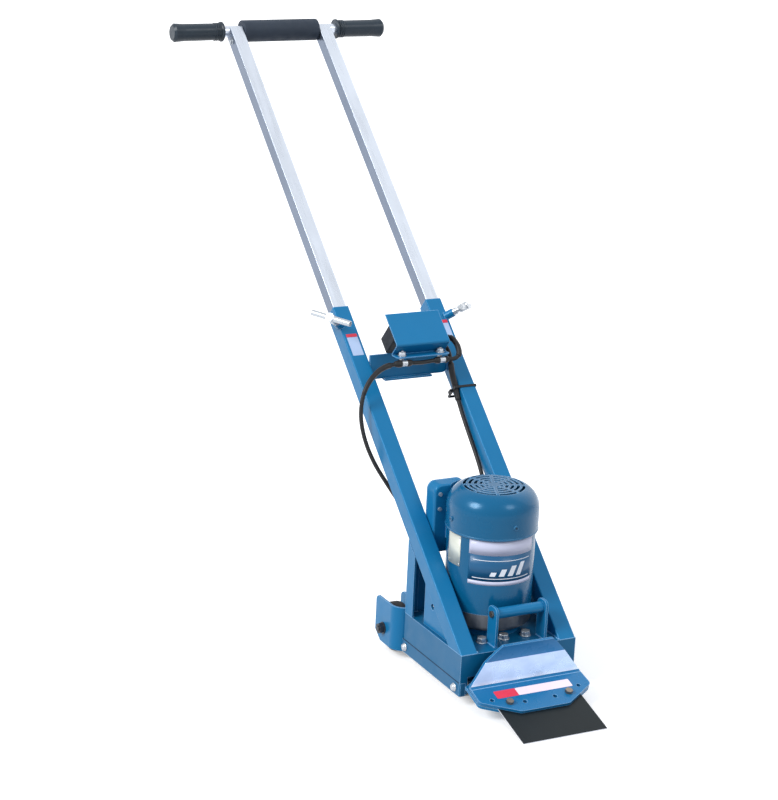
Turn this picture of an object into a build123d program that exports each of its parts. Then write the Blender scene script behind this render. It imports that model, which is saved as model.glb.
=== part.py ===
from build123d import *
from math import cos, hypot, pi, radians, sin, sqrt, tan
import os

# Powered floor scraper: a motor on a wheeled base drives a blade to and fro, and a telescoping
# handle steers it. Lengths are millimetres. X is across, Y runs back from the base's front face
# and Z is up from the floor. Each piece is moved by -MID_Y when it is written, so that the
# origin lies on the floor under the middle of the machine.

# Base housing, a folded sheet box that is open below and at the front
BASE_WIDTH = 250.0
BASE_DEPTH = 234.0
BASE_TOP = 104.0
SHEET = 4.0
CORNER_RADIUS = 8.0
FRONT_WALL_BOTTOM = 59.0
SEAM_Z = 47.5
UNDERSIDE_Z = 21.0
RAIL_THICKNESS = 12.0
PAN_THICKNESS = 3.0
RAIL_BOLT_Z = 33.0
RAIL_BOLT_FRONT = 21.0
RAIL_BOLT_BACK = 12.0
RAIL_BOLT_RADIUS = 3.25
BOLT_RADIUS = 4.0
BOLT_FIT = 0.25
WASHER_RADIUS = 9.0

# Slanted frame of square sleeves, measured in its own plane from the base's front top edge
FRAME_ANGLE = 41.17
SLEEVE_SIDE = 36.0
SLEEVE_WALL = 2.5
SLEEVE_END = 796.0
TELESCOPE_GAP = 0.5
INNER_START = 610.0
BAR_ALONG = 1548.0
INNER_WALL = 2.0

# Handlebar
BAR_RADIUS = 12.0
BAR_HALF = 251.0
GRIP_RADIUS = 19.5
GRIP_LENGTH = 118.0
GRIP_HALF = 255.0
GRIP_FLANGE_RADIUS = 22.0
FOAM_RADIUS = 24.0
FOAM_HALF = 91.0

# Posts and gussets under the sleeves
POST_DEPTH = 29.0
POST_INSET = 6.0
POST_Y = (BASE_DEPTH - POST_INSET - POST_DEPTH, BASE_DEPTH - POST_INSET)
POST_WEB = 26.0
POST_THICKNESS = 4.0
GUSSET_INSET = 8.0
GUSSET_THICKNESS = 5.0
GUSSET_Y = (50.0, 166.0)
GUSSET_HOLE = (134.0, 150.0)
GUSSET_HOLE_RADIUS = 6.0

# Motor
MOTOR_Y = 128.7
FLANGE_RADIUS = 68.0
FLANGE_THICKNESS = 14.0
BELL_HEIGHT = 34.0
MOTOR_RADIUS = 85.0
SHELL_TOP = 304.0
SHELL_WALL = 3.0
PILOT_RADIUS = 45.0
BEARING_OUTER = 17.5
COVER_RADIUS = 89.0
COVER_WALL = 2.5
COVER_STRAIGHT_TOP = 345.0
COVER_TOP = 387.0
GRILLE_RADIUS = 64.0
GRILLE_RINGS = 5
GRILLE_FIRST = 15.0
GRILLE_PITCH = 10.5
GRILLE_SLOT = 6.0
GRILLE_SPOKE = 5.5
COVER_SCREW_Z = 329.0
COVER_SCREW_ANGLES = (-90, 0, 90, 180)
SHAFT_RADIUS = 8.0
SHAFT_FIT = 0.05
SHAFT_TOP = 356.0
THROUGH_BOLT_CIRCLE = 77.5
STATOR_INNER = 45.0
ROTOR_FIT = 0.8

# Eccentric drive under the motor
ECCENTRICITY = 3.0
ECCENTRIC_TOP = 88.0
ECCENTRIC_RADIUS = 17.0
CRANK_PIN_RADIUS = 5.0
DRIVE_BEARING_RADIUS = 11.0
YOKE_CLEARANCE = 0.3

# Blade and its clamp, measured in the blade's own sloping plane from the cutting edge
BLADE_SLOPE = 16.0
EDGE_Y = -183.0
BLADE_WIDTH = 180.0
BLADE_DEPTH = 116.0
BLADE_THICKNESS = 1.5
BLADE_BEVEL = 8.0
NOTCH_WIDTH = 9.0
NOTCH_DEPTH = 14.0
CLAMP_THICKNESS = 6.0
CLAMP_FRONT = 78.7
CLAMP_NOSE_HALF = 51.6
CLAMP_HALF = 120.7
CLAMP_CORNER = 119.7
CLAMP_BOLT_X = 64.0
INNER_HOLE = (32.5, 102.7)
OUTER_HOLE = (94.0, 120.3)
FREE_HOLE_RADIUS = 4.4
FOLD_BACK = 162.0
FOLD_HIGH = (-24.5, 94.7)
DEFLECTOR_TOP = (-32.5, 126.0)

# Carriage that carries the clamp under the base
CARRIAGE_INSET = 25.0
CARRIAGE_HALF = BASE_WIDTH / 2 - CARRIAGE_INSET
CARRIAGE_BOTTOM = 40.0
CARRIAGE_THICKNESS = 6.0
CARRIAGE_BACK = 190.0
CARRIAGE_TRAVEL = 3.0
SLIDE_GAP = 0.1
GUIDE_DEPTH = 16.0
GUIDE_HEIGHT = (26.0, 54.0)

# Wheels and their brackets
AXLE_BEHIND = 56.0
AXLE_Y = BASE_DEPTH + AXLE_BEHIND
WHEEL_RADIUS = 49.0
TYRE_HALF = 17.5
RIM_RADIUS = 33.0
WHEEL_INSET = 15.5
WHEEL_X = BASE_WIDTH / 2 - WHEEL_INSET
BRACKET_HALF = 29.5
BRACKET_THICKNESS = 4.0
BRACKET_TAIL = 34.0
BRACKET_BACK = AXLE_Y + BRACKET_TAIL
BRACKET_Z = (18.0, 109.0)
AXLE_RADIUS = 6.0
HUB_SIDE_GAP = 0.3

# Grab handle in front of the motor
GRAB_X = (-47.0, 66.0)
GRAB_Y = (11.0, 43.0)
GRAB_HEIGHT = 78.0
GRAB_PLATE = 5.0
GRAB_RADIUS = 10.5
GRAB_CENTRE = (27.0, 167.0)

# Terminal box behind the motor
TERMINAL_X = (-88.0, -10.0)
TERMINAL_Y = (200.0, 230.0)
TERMINAL_Z = (232.0, 371.0)

# Switch box, its hood and the cross plate, in the frame's plane
BOX_X = (-59.0, 45.0)
BOX_ALONG = (660.0, 697.0)
BOX_LIFT = (21.0, 73.0)
ROCKER_HALF = 11.0
ROCKER_HALF_WIDTH = 6.5
ROCKER_DEPTH = 5.0
ROCKER_PIN_RADIUS = 1.5
ROCKER_PIN_HALF = 11.0
ROCKER_SWING = 3.5
HOOD_HALF = 60.0
HOOD_SHEET = 2.0
HOOD_FRONT = 645.0
HOOD_BACK = 720.0
HOOD_LIP_Y = 430.0
HOOD_LIP_Z = 558.0
CROSS_Y = 494.0
CROSS_Z = (500.0, 551.0)
CROSS_THICKNESS = 4.0
CROSS_TONGUE_X = (-50.0, 38.0)
CROSS_LIP = 10.0
CROSS_LIP_X = (-57.0, 50.0)
CROSS_CORNER = 12.0

# Cords
CORD_RADIUS = 4.25
CORD_FIT = 0.1
CLIP_X = 43.0
CLIP_CENTRE = (433.5, 547.0)
CLIP_BOLT_Y = 444.0
CLIP_STRAP = 1.5
GLAND_LENGTH = 12.0
PLUG_RADIUS = 13.0

# Clamp screws of the telescope
TEE_ALONG = 752.0
TEE_SHAFT_RADIUS = 5.0
TEE_BOSS_RADIUS = 9.0
TEE_BOSS_LENGTH = 14.0
TEE_BAR_RADIUS = 6.0
TEE_BAR_LENGTH = 95.0
TEE_BAR_REACH = 40.0

THETA = radians(FRAME_ANGLE)
ALONG = Vector(0, cos(THETA), sin(THETA))
LIFT = Vector(0, -sin(THETA), cos(THETA))
FRAME = Plane(origin=(0, 0, BASE_TOP), x_dir=(1, 0, 0), z_dir=(LIFT.X, LIFT.Y, LIFT.Z))
SLEEVE_X = (BASE_WIDTH - SLEEVE_SIDE) / 2
SLEEVE_INNER_X = BASE_WIDTH / 2 - SLEEVE_SIDE
TUBE_SIDE = SLEEVE_SIDE - 2 * SLEEVE_WALL - 2 * TELESCOPE_GAP
SLOPE = radians(BLADE_SLOPE)
BLADE_LAND = 0.3
BLADE = Plane(
    origin=(0, EDGE_Y, BLADE_LAND * cos(SLOPE)),
    x_dir=(1, 0, 0),
    z_dir=(0, -sin(SLOPE), cos(SLOPE)),
)
SIDES = (-1, 1)
# Farther than any piece reaches, for cuts that take all on one side
FAR = 2500.0


# Helpers
def save(name, *pieces):
    solids = []
    for piece in pieces:
        solids += piece.moved(Location((0, -MID_Y, 0))).solids()
    whole = solids[0] if len(solids) == 1 else Compound(children=solids)
    export_step(whole, "parts/" + name + ".step")


def block(x, y, z):
    middle = Pos((x[0] + x[1]) / 2, (y[0] + y[1]) / 2, (z[0] + z[1]) / 2)
    return middle * Box(x[1] - x[0], y[1] - y[0], z[1] - z[0])


def rod(start, axis, radius, length):
    place = Plane(origin=start, z_dir=axis)
    return place * Cylinder(radius, length, align=(Align.CENTER, Align.CENTER, Align.MIN))


def ring(start, axis, outer, inner, length):
    return rod(start, axis, outer, length) - rod(start, axis, inner, length)


def hexagon(start, axis, across, height):
    place = Plane(origin=start, z_dir=axis)
    return place * extrude(RegularPolygon(across / 2, 6, major_radius=False), height)


def outline(*points):
    return make_face(Polyline(*points, close=True))


def side_sheet(points, thickness, radius, half, side=Side.LEFT):
    """A sheet bent along a line of (Y, Z) points, as wide as twice half, across X."""
    line = FilletPolyline(*points, radius=radius)
    skin = offset(line, amount=thickness, side=side)
    place = Plane(origin=(-half, 0, 0), x_dir=(0, 1, 0), z_dir=(1, 0, 0))
    return extrude(place * make_face(skin), 2 * half)


def upright_plate(points, x_low, thickness):
    """A flat plate in a YZ plane, from x_low towards +X."""
    place = Plane(origin=(x_low, 0, 0), x_dir=(0, 1, 0), z_dir=(1, 0, 0))
    return extrude(place * outline(*points), thickness)


def in_frame(x, along, lift):
    return FRAME.origin + Vector(x, 0, 0) + ALONG * along + LIFT * lift


def frame_block(x, along, lift):
    return FRAME * block(x, along, lift)


def in_blade(x, back, lift):
    return BLADE.origin + BLADE.x_dir * x + BLADE.y_dir * back + BLADE.z_dir * lift


def mirrored(piece):
    return mirror(piece, about=Plane.YZ)


def tube_along(points, radius, label):
    """A round cord along straight runs joined by arcs as large as the runs allow."""
    spots = [Vector(*point) for point in points]
    runs = [b - a for a, b in zip(spots, spots[1:])]
    radii = []
    for before, after in zip(runs, runs[1:]):
        turn = radians(before.get_angle(after))
        radii.append(0.45 * min(before.length, after.length) / tan(turn / 2))
    path = FilletPolyline(*spots, radius=radii)
    start = Plane(origin=spots[0], z_dir=runs[0])
    cord = sweep(start * Circle(radius), path=path)
    share = cord.volume / (pi * radius**2 * path.length)
    print(label, "length", round(path.length), "radii", [round(r) for r in radii], round(share, 4))
    return cord


# Base
def base_housing():
    half = BASE_WIDTH / 2
    shell = block((-half, half), (0, BASE_DEPTH), (SEAM_Z, BASE_TOP))
    corners = shell.edges().filter_by(Axis.Z).group_by(Axis.Y)[-1]
    shell = fillet(corners, CORNER_RADIUS)
    inside = block(
        (-half + SHEET, half - SHEET),
        (SHEET, BASE_DEPTH - SHEET),
        (SEAM_Z, BASE_TOP - SHEET),
    )
    inside = fillet(
        inside.edges().filter_by(Axis.Z).group_by(Axis.Y)[-1], CORNER_RADIUS - SHEET
    )
    shell -= inside
    # The side walls step in above the rails and run down behind them.
    flange_outer = half - RAIL_THICKNESS
    flange_inner = flange_outer - SHEET
    for side in SIDES:
        ledge_x = sorted((side * flange_inner, side * (half - SHEET)))
        shell += block(ledge_x, (SHEET, BASE_DEPTH - SHEET), (SEAM_Z, SEAM_Z + SHEET))
        flange_x = sorted((side * flange_inner, side * flange_outer))
        shell += block(flange_x, (0, BASE_DEPTH), (UNDERSIDE_Z + PAN_THICKNESS, SEAM_Z))
    rear = block(
        (-flange_inner, flange_inner),
        (BASE_DEPTH - SHEET, BASE_DEPTH),
        (UNDERSIDE_Z + PAN_THICKNESS, SEAM_Z),
    )
    shell += rear
    shell -= block(
        (-flange_inner, flange_inner), (-1, SHEET + 1), (SEAM_Z - 1, FRONT_WALL_BOTTOM)
    )
    shell -= rod((0, MOTOR_Y, BASE_TOP - SHEET - 1), (0, 0, 1), PILOT_RADIUS, SHEET + 2)
    for spot in MOTOR_BOLTS + TOP_BOLTS:
        shell -= rod((spot[0], spot[1], BASE_TOP - SHEET - 1), (0, 0, 1), BOLT_RADIUS, SHEET + 2)
    for side in SIDES:
        for y in RAIL_BOLT_Y:
            start = (side * (flange_inner - 1), y, RAIL_BOLT_Z)
            shell -= rod(start, (side, 0, 0), RAIL_BOLT_RADIUS + BOLT_FIT, SHEET + 2)
    return shell


def side_rails():
    half = BASE_WIDTH / 2
    rails = []
    for side in SIDES:
        x = sorted((side * (half - RAIL_THICKNESS), side * half))
        rail = block(x, (0, BASE_DEPTH), (UNDERSIDE_Z, SEAM_Z))
        for y in RAIL_BOLT_Y:
            start = (side * (half - RAIL_THICKNESS - 1), y, RAIL_BOLT_Z)
            rail -= rod(start, (side, 0, 0), RAIL_BOLT_RADIUS + BOLT_FIT, RAIL_THICKNESS + 2)
        outer = rail.edges().filter_by(Axis.Z).filter_by(
            lambda edge: abs(abs(edge.center().X) - half) < 0.1
        )
        rails.append(chamfer(outer, 2))
    return rails


def bottom_pan():
    half = BASE_WIDTH / 2 - RAIL_THICKNESS
    pan = block((-half, half), (0, BASE_DEPTH), (UNDERSIDE_Z, UNDERSIDE_Z + PAN_THICKNESS))
    # A round opening under the eccentric lets dust fall out.
    return pan - rod((0, MOTOR_Y, UNDERSIDE_Z - 1), (0, 0, 1), 22, PAN_THICKNESS + 2)


def guide_strips():
    strips = []
    outer = BASE_WIDTH / 2 - RAIL_THICKNESS - SHEET
    groove = CARRIAGE_HALF + 3 * SLIDE_GAP
    top = CARRIAGE_BOTTOM + CARRIAGE_THICKNESS + SLIDE_GAP
    for side in SIDES:
        x = sorted((side * (outer - GUIDE_DEPTH), side * outer))
        strip = block(x, (12, BASE_DEPTH - SHEET - 4), GUIDE_HEIGHT)
        slot_x = sorted((side * (outer - GUIDE_DEPTH - 1), side * groove))
        strip -= block(slot_x, (0, BASE_DEPTH), (CARRIAGE_BOTTOM - SLIDE_GAP, top))
        for y in RAIL_BOLT_Y:
            start = (side * (outer - GUIDE_DEPTH - 1), y, RAIL_BOLT_Z)
            strip -= rod(start, (side, 0, 0), RAIL_BOLT_RADIUS + BOLT_FIT, GUIDE_DEPTH + 2)
        strips.append(strip)
    return strips


def rail_bolts():
    half = BASE_WIDTH / 2
    inner = half - RAIL_THICKNESS - SHEET - GUIDE_DEPTH
    length = half - inner + 8
    bolts = []
    for side in SIDES:
        way = (side, 0, 0)
        for y in RAIL_BOLT_Y:
            head = hexagon((side * half, y, RAIL_BOLT_Z), way, 11, 5)
            shank = rod((side * (inner - 8), y, RAIL_BOLT_Z), way, RAIL_BOLT_RADIUS, length)
            nut = hexagon((side * (inner - 5), y, RAIL_BOLT_Z), way, 11, 5)
            bolts.append(head + shank + nut)
    return bolts


def top_bolts():
    bolts = []
    for x, y in TOP_BOLTS:
        washer = rod((x, y, BASE_TOP), (0, 0, 1), WASHER_RADIUS, 2)
        head = hexagon((x, y, BASE_TOP + 2), (0, 0, 1), 17, 8)
        shank = rod((x, y, BASE_TOP - SHEET - 14), (0, 0, 1), BOLT_RADIUS, SHEET + 15)
        nut = hexagon((x, y, BASE_TOP - SHEET - 8), (0, 0, 1), 15, 8)
        bolts.append(washer + chamfer(head.edges().group_by(Axis.Z)[-1], 1) + shank + nut)
    return bolts


# Frame
def tee_axis(side):
    return Vector(side * sqrt(0.5), 0, 0) + LIFT * sqrt(0.5)


def frame_tube(side):
    outer = SLEEVE_SIDE / 2
    inner = outer - SLEEVE_WALL
    middle = side * SLEEVE_X
    low, high = -90, SLEEVE_END
    tube = frame_block((middle - outer, middle + outer), (low, high), (-SLEEVE_SIDE, 0))
    tube = fillet(tube.edges().filter_by(lambda edge: edge.length > high - low - 1), 3)
    hollow_lift = (-SLEEVE_SIDE + SLEEVE_WALL, -SLEEVE_WALL)
    tube -= frame_block((middle - inner, middle + inner), (low - 1, high + 1), hollow_lift)
    corner = in_frame(side * BASE_WIDTH / 2, TEE_ALONG, 0)
    axis = tee_axis(side)
    boss = rod(corner - axis * 6, axis, TEE_BOSS_RADIUS, TEE_BOSS_LENGTH + 6)
    solid_core = frame_block((middle - inner, middle + inner), (low, high), hollow_lift)
    tube += boss - solid_core
    tube -= rod(corner - axis * 14, axis, TEE_SHAFT_RADIUS + SHAFT_FIT, TEE_BOSS_LENGTH + 20)
    return tube - block((-FAR, FAR), (-FAR, FAR), (-FAR, BASE_TOP))


def under_sleeve(piece):
    """Trims a piece to what lies below the sleeves' underside."""
    return piece - frame_block((-FAR, FAR), (-FAR, FAR), (-SLEEVE_SIDE, FAR))


def rear_post(side):
    half = BASE_WIDTH / 2
    flat = sorted((side * (half - POST_THICKNESS), side * half))
    web = sorted((side * (half - POST_WEB), side * half))
    post = block(flat, POST_Y, (BASE_TOP, FAR))
    post += block(web, (POST_Y[1] - POST_THICKNESS, POST_Y[1]), (BASE_TOP, FAR))
    return under_sleeve(post)


def gusset_plate(side):
    x = side * (BASE_WIDTH / 2 - GUSSET_INSET)
    low = min(x, x - side * GUSSET_THICKNESS)
    points = [
        (GUSSET_Y[0], BASE_TOP),
        (GUSSET_Y[1], BASE_TOP),
        (GUSSET_Y[1], FAR),
        (GUSSET_Y[0], FAR),
    ]
    plate = under_sleeve(upright_plate(points, low, GUSSET_THICKNESS))
    y, z = GUSSET_HOLE
    return plate - rod((low - 1, y, z), (1, 0, 0), GUSSET_HOLE_RADIUS, GUSSET_THICKNESS + 2)


def cross_plate():
    y = (CROSS_Y, CROSS_Y + CROSS_THICKNESS)
    inner = SLEEVE_INNER_X
    plate = block((-inner, inner), y, CROSS_Z)
    plate += block(CROSS_TONGUE_X, y, (CROSS_Z[1] - 1, FAR))
    lip_y = (CROSS_Y - CROSS_LIP, CROSS_Y + CROSS_THICKNESS)
    plate += block(CROSS_LIP_X, lip_y, (CROSS_Z[0] + 1 - CROSS_THICKNESS, CROSS_Z[0] + 1))
    plate -= frame_block((-FAR, FAR), (-FAR, FAR), (BOX_LIFT[0], FAR))
    low = plate.edges().filter_by(Axis.Y).filter_by(lambda edge: abs(abs(edge.center().X) - inner) < 0.1)
    return fillet(low.group_by(Axis.Z)[0], CROSS_CORNER)


def switch_hood():
    corner = in_frame(0, HOOD_FRONT, BOX_LIFT[1])
    foot_lift = (HOOD_LIP_Z - BASE_TOP - HOOD_FRONT * sin(THETA)) / cos(THETA)
    foot = in_frame(0, HOOD_FRONT, foot_lift)
    back = in_frame(0, HOOD_BACK, BOX_LIFT[1])
    points = [
        (back.Y, back.Z),
        (corner.Y, corner.Z),
        (foot.Y, foot.Z),
        (HOOD_LIP_Y, foot.Z),
    ]
    hood = side_sheet(points[::-1], HOOD_SHEET, 3, HOOD_HALF)
    for side in SIDES:
        start = (side * CLIP_X, CLIP_BOLT_Y, HOOD_LIP_Z - 10)
        hood -= rod(start, (0, 0, 1), 3.2, 20)
    ends = hood.edges().filter_by(Axis.Z).filter_by(lambda edge: edge.center().Y < HOOD_LIP_Y + 1)
    return fillet(ends, 8)


def switch_box():
    box = frame_block(BOX_X, BOX_ALONG, BOX_LIFT)
    box = fillet(box.edges(), 3)
    pocket = ROCKER_FACE * block(
        (-ROCKER_HALF_WIDTH - 1.5, ROCKER_HALF_WIDTH + 1.5),
        (-ROCKER_HALF - ROCKER_SWING, ROCKER_HALF + ROCKER_SWING),
        (-ROCKER_DEPTH - 5, 1),
    )
    box -= pocket
    reach = ROCKER_PIN_HALF + 1
    pin_bore = rod((-reach, 0, -ROCKER_DEPTH), (1, 0, 0), ROCKER_PIN_RADIUS + SHAFT_FIT, 2 * reach)
    return box - ROCKER_FACE * pin_bore


def switch_rocker():
    """A rocker on a cross pin: its lower half lies in, its upper half stands out."""
    place = ROCKER_FACE * Plane(origin=(0, 0, 0), x_dir=(0, 1, 0), z_dir=(1, 0, 0))
    half = ROCKER_HALF
    shape = outline((-half, 0), (0, -2), (half, 3.5), (half, 5.5), (0, 2.2), (-half, 2))
    hub = Pos(0, -ROCKER_DEPTH) * Circle(3.5)
    web = Pos(0, -ROCKER_DEPTH / 2 - 0.5) * Rectangle(4, ROCKER_DEPTH)
    body = extrude(place * (shape + hub + web), ROCKER_HALF_WIDTH, both=True)
    start = (-ROCKER_PIN_HALF, 0, -ROCKER_DEPTH)
    return body + ROCKER_FACE * rod(start, (1, 0, 0), ROCKER_PIN_RADIUS, 2 * ROCKER_PIN_HALF)


# Handle
def inner_tube(side):
    half = TUBE_SIDE / 2
    wall = INNER_WALL
    middle = side * SLEEVE_X
    centre = -SLEEVE_SIDE / 2
    tube = frame_block(
        (middle - half, middle + half), (INNER_START, BAR_ALONG), (centre - half, centre + half)
    )
    tube = fillet(tube.edges().filter_by(lambda edge: edge.length > BAR_ALONG - INNER_START - 1), 2)
    tube -= frame_block(
        (middle - half + wall, middle + half - wall),
        (INNER_START - 1, BAR_ALONG + 1),
        (centre - half + wall, centre + half - wall),
    )
    bar = in_frame(middle - 30, BAR_ALONG, centre)
    return tube - rod(bar, (1, 0, 0), BAR_RADIUS, 60)


def handlebar():
    start = in_frame(-BAR_HALF, BAR_ALONG, -SLEEVE_SIDE / 2)
    return ring(start, (1, 0, 0), BAR_RADIUS, BAR_RADIUS - 2, 2 * BAR_HALF)


def grip(side):
    """A moulded grip turned about the bar, with a stop flange inside and a closed end."""
    inner = GRIP_HALF - GRIP_LENGTH
    centre = in_frame(0, BAR_ALONG, -SLEEVE_SIDE / 2)
    profile = outline(
        (inner, BAR_RADIUS),
        (inner, GRIP_FLANGE_RADIUS - 1),
        (inner + 1, GRIP_FLANGE_RADIUS),
        (inner + 4, GRIP_FLANGE_RADIUS),
        (inner + 7, GRIP_RADIUS - 1),
        (GRIP_HALF - 26, GRIP_RADIUS - 0.5),
        (GRIP_HALF - 5, GRIP_RADIUS + 1),
        (GRIP_HALF, GRIP_RADIUS - 3.5),
        (GRIP_HALF, 0),
        (BAR_HALF, 0),
        (BAR_HALF, BAR_RADIUS),
    )
    body = revolve(Plane.XY * profile, axis=Axis.X)
    body = body.moved(Location((centre.X, centre.Y, centre.Z)))
    return body if side > 0 else mirrored(body)


def foam_sleeve():
    start = in_frame(-FOAM_HALF, BAR_ALONG, -SLEEVE_SIDE / 2)
    sleeve = ring(start, (1, 0, 0), FOAM_RADIUS, BAR_RADIUS, 2 * FOAM_HALF)
    rims = sleeve.edges().filter_by(GeomType.CIRCLE).sort_by(lambda edge: edge.radius)[-2:]
    return fillet(rims, 2.5)


# Clamp screws
def tee_bolt(side):
    corner = in_frame(side * BASE_WIDTH / 2, TEE_ALONG, 0)
    axis = tee_axis(side)
    # The tip stops just short of the inner tube's rounded corner.
    tube_corner = SLEEVE_WALL + TELESCOPE_GAP
    tip = -(sqrt(2) * tube_corner + 2 * (sqrt(2) - 1) - 0.3)
    shaft = rod(corner + axis * tip, axis, TEE_SHAFT_RADIUS, TEE_BAR_REACH - tip)
    collar = rod(corner + axis * (TEE_BOSS_LENGTH + 0.3), axis, 7.5, 8)
    hub = rod(corner + axis * (TEE_BAR_REACH - 12), axis, 8.5, 19.5)
    across = Vector(sqrt(0.5), 0, 0) - LIFT * sqrt(0.5) * side
    slant = (66.1, -64.5) if side < 0 else (91.6, 41.0)
    size = hypot(*slant)
    bar_axis = across * (slant[0] / size) + ALONG * (slant[1] / size)
    middle = corner + axis * TEE_BAR_REACH
    bar = rod(middle - bar_axis * (TEE_BAR_LENGTH / 2), bar_axis, TEE_BAR_RADIUS, TEE_BAR_LENGTH)
    ends = bar.edges().filter_by(GeomType.CIRCLE)
    return shaft + collar + hub + fillet(ends, 2)


# Motor
def motor_end_bell():
    low = BASE_TOP + FLANGE_THICKNESS
    high = low + BELL_HEIGHT
    bell = rod((0, MOTOR_Y, low), (0, 0, 1), MOTOR_RADIUS, BELL_HEIGHT)
    bell = fillet(bell.edges().filter_by(GeomType.CIRCLE).group_by(Axis.Z)[0], 9)
    bell -= rod((0, MOTOR_Y, low + 18), (0, 0, 1), MOTOR_RADIUS - 12, BELL_HEIGHT)
    bell += rod((0, MOTOR_Y, low), (0, 0, 1), BEARING_OUTER + 6, 26)
    bell -= rod((0, MOTOR_Y, low + 10), (0, 0, 1), BEARING_OUTER, 40)
    bell -= rod((0, MOTOR_Y, low - 1), (0, 0, 1), SHAFT_RADIUS + 1, 60)
    for spot in THROUGH_BOLTS:
        bell -= rod((spot[0], spot[1], low + 12), (0, 0, 1), 2.5, BELL_HEIGHT)
        boss_end = high - 1
        bell -= rod((spot[0], spot[1], boss_end), (0, 0, 1), 2.75, 2)
    return bell


def motor_flange():
    flange = rod((0, MOTOR_Y, BASE_TOP), (0, 0, 1), FLANGE_RADIUS, FLANGE_THICKNESS)
    flange += rod((0, MOTOR_Y, BASE_TOP - SHEET), (0, 0, 1), PILOT_RADIUS, SHEET)
    flange -= rod((0, MOTOR_Y, BASE_TOP - SHEET - 1), (0, 0, 1), 24, 40)
    for x, y in MOTOR_BOLTS:
        flange -= rod((x, y, BASE_TOP - 1), (0, 0, 1), BOLT_RADIUS, FLANGE_THICKNESS - 2)
    return flange


def motor_mount_bolts():
    bolts = []
    for x, y in MOTOR_BOLTS:
        shank = rod((x, y, BASE_TOP - SHEET), (0, 0, 1), BOLT_RADIUS, SHEET + FLANGE_THICKNESS - 3)
        head = hexagon((x, y, BASE_TOP - SHEET - 6), (0, 0, 1), 13, 6)
        bolts.append(shank + head)
    return bolts


def motor_shell():
    low = BASE_TOP + FLANGE_THICKNESS + BELL_HEIGHT
    shell = rod((0, MOTOR_Y, low), (0, 0, 1), MOTOR_RADIUS, SHELL_TOP - low)
    bore = MOTOR_RADIUS - SHELL_WALL
    return shell - rod((0, MOTOR_Y, low - 1), (0, 0, 1), bore, SHELL_TOP - low + 2)


def motor_top_bell():
    """The upper end shield sits in the shell's mouth and carries the top bearing."""
    low = SHELL_TOP - 4
    bell = rod((0, MOTOR_Y, low), (0, 0, 1), MOTOR_RADIUS - SHELL_WALL, 4)
    bell += rod((0, MOTOR_Y, SHELL_TOP), (0, 0, 1), COVER_RADIUS - COVER_WALL, 10)
    bell -= rod((0, MOTOR_Y, low - 1), (0, 0, 1), BEARING_OUTER, 13)
    bell -= rod((0, MOTOR_Y, low - 1), (0, 0, 1), SHAFT_RADIUS + 2, 20)
    for spot in THROUGH_BOLTS:
        bell -= rod((spot[0], spot[1], low - 1), (0, 0, 1), 2.75, 20)
    for angle in range(0, 360, 60):
        place = Pos(0, MOTOR_Y, low - 1) * Rot(0, 0, angle + 30)
        bell -= place * Pos(45, 0, 0) * extrude(SlotOverall(30, 14), 20)
    return bell


def motor_fan_cover():
    """A drawn cover turned from a profile, with rings of slots in its flat top."""
    low = SHELL_TOP
    wall = COVER_WALL
    radius = COVER_RADIUS
    crown = COVER_TOP - COVER_STRAIGHT_TOP
    flat = GRILLE_RADIUS

    def skin(inset):
        side = Line((radius - inset, low - 1 if inset else low), (radius - inset, COVER_STRAIGHT_TOP))
        dome = EllipticalCenterArc(
            (flat - 12, COVER_STRAIGHT_TOP),
            radius - inset - flat + 12,
            crown - inset,
            start_angle=0,
            arc_size=90,
        )
        top = Line(dome @ 1, (0, (dome @ 1).Y))
        close = Polyline(top @ 1, (0, (side @ 0).Y), side @ 0)
        return make_face([side, dome, top, close])

    profile = Plane.XZ * (skin(0) - skin(wall))
    cover = revolve(profile, axis=Axis.Z).moved(Location((0, MOTOR_Y, 0)))
    # Rings of slots, cut between eight spokes
    for index in range(GRILLE_RINGS):
        middle = GRILLE_FIRST + index * GRILLE_PITCH
        slots = Circle(middle + GRILLE_SLOT / 2) - Circle(middle - GRILLE_SLOT / 2)
        for turn in range(4):
            slots -= Rot(0, 0, 45 * turn + 22.5) * Rectangle(2 * radius, GRILLE_SPOKE)
        cover -= Pos(0, MOTOR_Y, COVER_STRAIGHT_TOP + 8) * extrude(slots, crown + 20)
    for angle in COVER_SCREW_ANGLES:
        direction = (cos(radians(angle)), sin(radians(angle)), 0)
        start = (0, MOTOR_Y, COVER_SCREW_Z)
        cover -= rod(start, direction, 2.75, radius + 5)
    return cover


def motor_cover_screws():
    barrel = rod((0, MOTOR_Y, COVER_SCREW_Z - 10), (0, 0, 1), COVER_RADIUS, 20)
    screws = []
    for angle in COVER_SCREW_ANGLES:
        direction = Vector(cos(radians(angle)), sin(radians(angle)), 0)
        seat = Vector(0, MOTOR_Y, COVER_SCREW_Z) + direction * (COVER_RADIUS - 0.3)
        head = rod(seat, direction, 5, 3)
        rims = head.edges().filter_by(GeomType.CIRCLE)
        outer = rims.sort_by(lambda edge: (edge.arc_center - seat).length)[-1]
        head = fillet(outer, 1.2) - barrel
        shank = rod(seat - direction * (COVER_WALL + 4), direction, 2.5, COVER_WALL + 5)
        screws.append(head + shank)
    return screws


def motor_through_bolts():
    low = BASE_TOP + FLANGE_THICKNESS + 12
    bolts = []
    for x, y in THROUGH_BOLTS:
        stud = rod((x, y, low), (0, 0, 1), 2.5, SHELL_TOP + 10 - low)
        head = hexagon((x, y, SHELL_TOP + 10), (0, 0, 1), 8, 4)
        bolts.append(stud + head)
    return bolts


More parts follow.
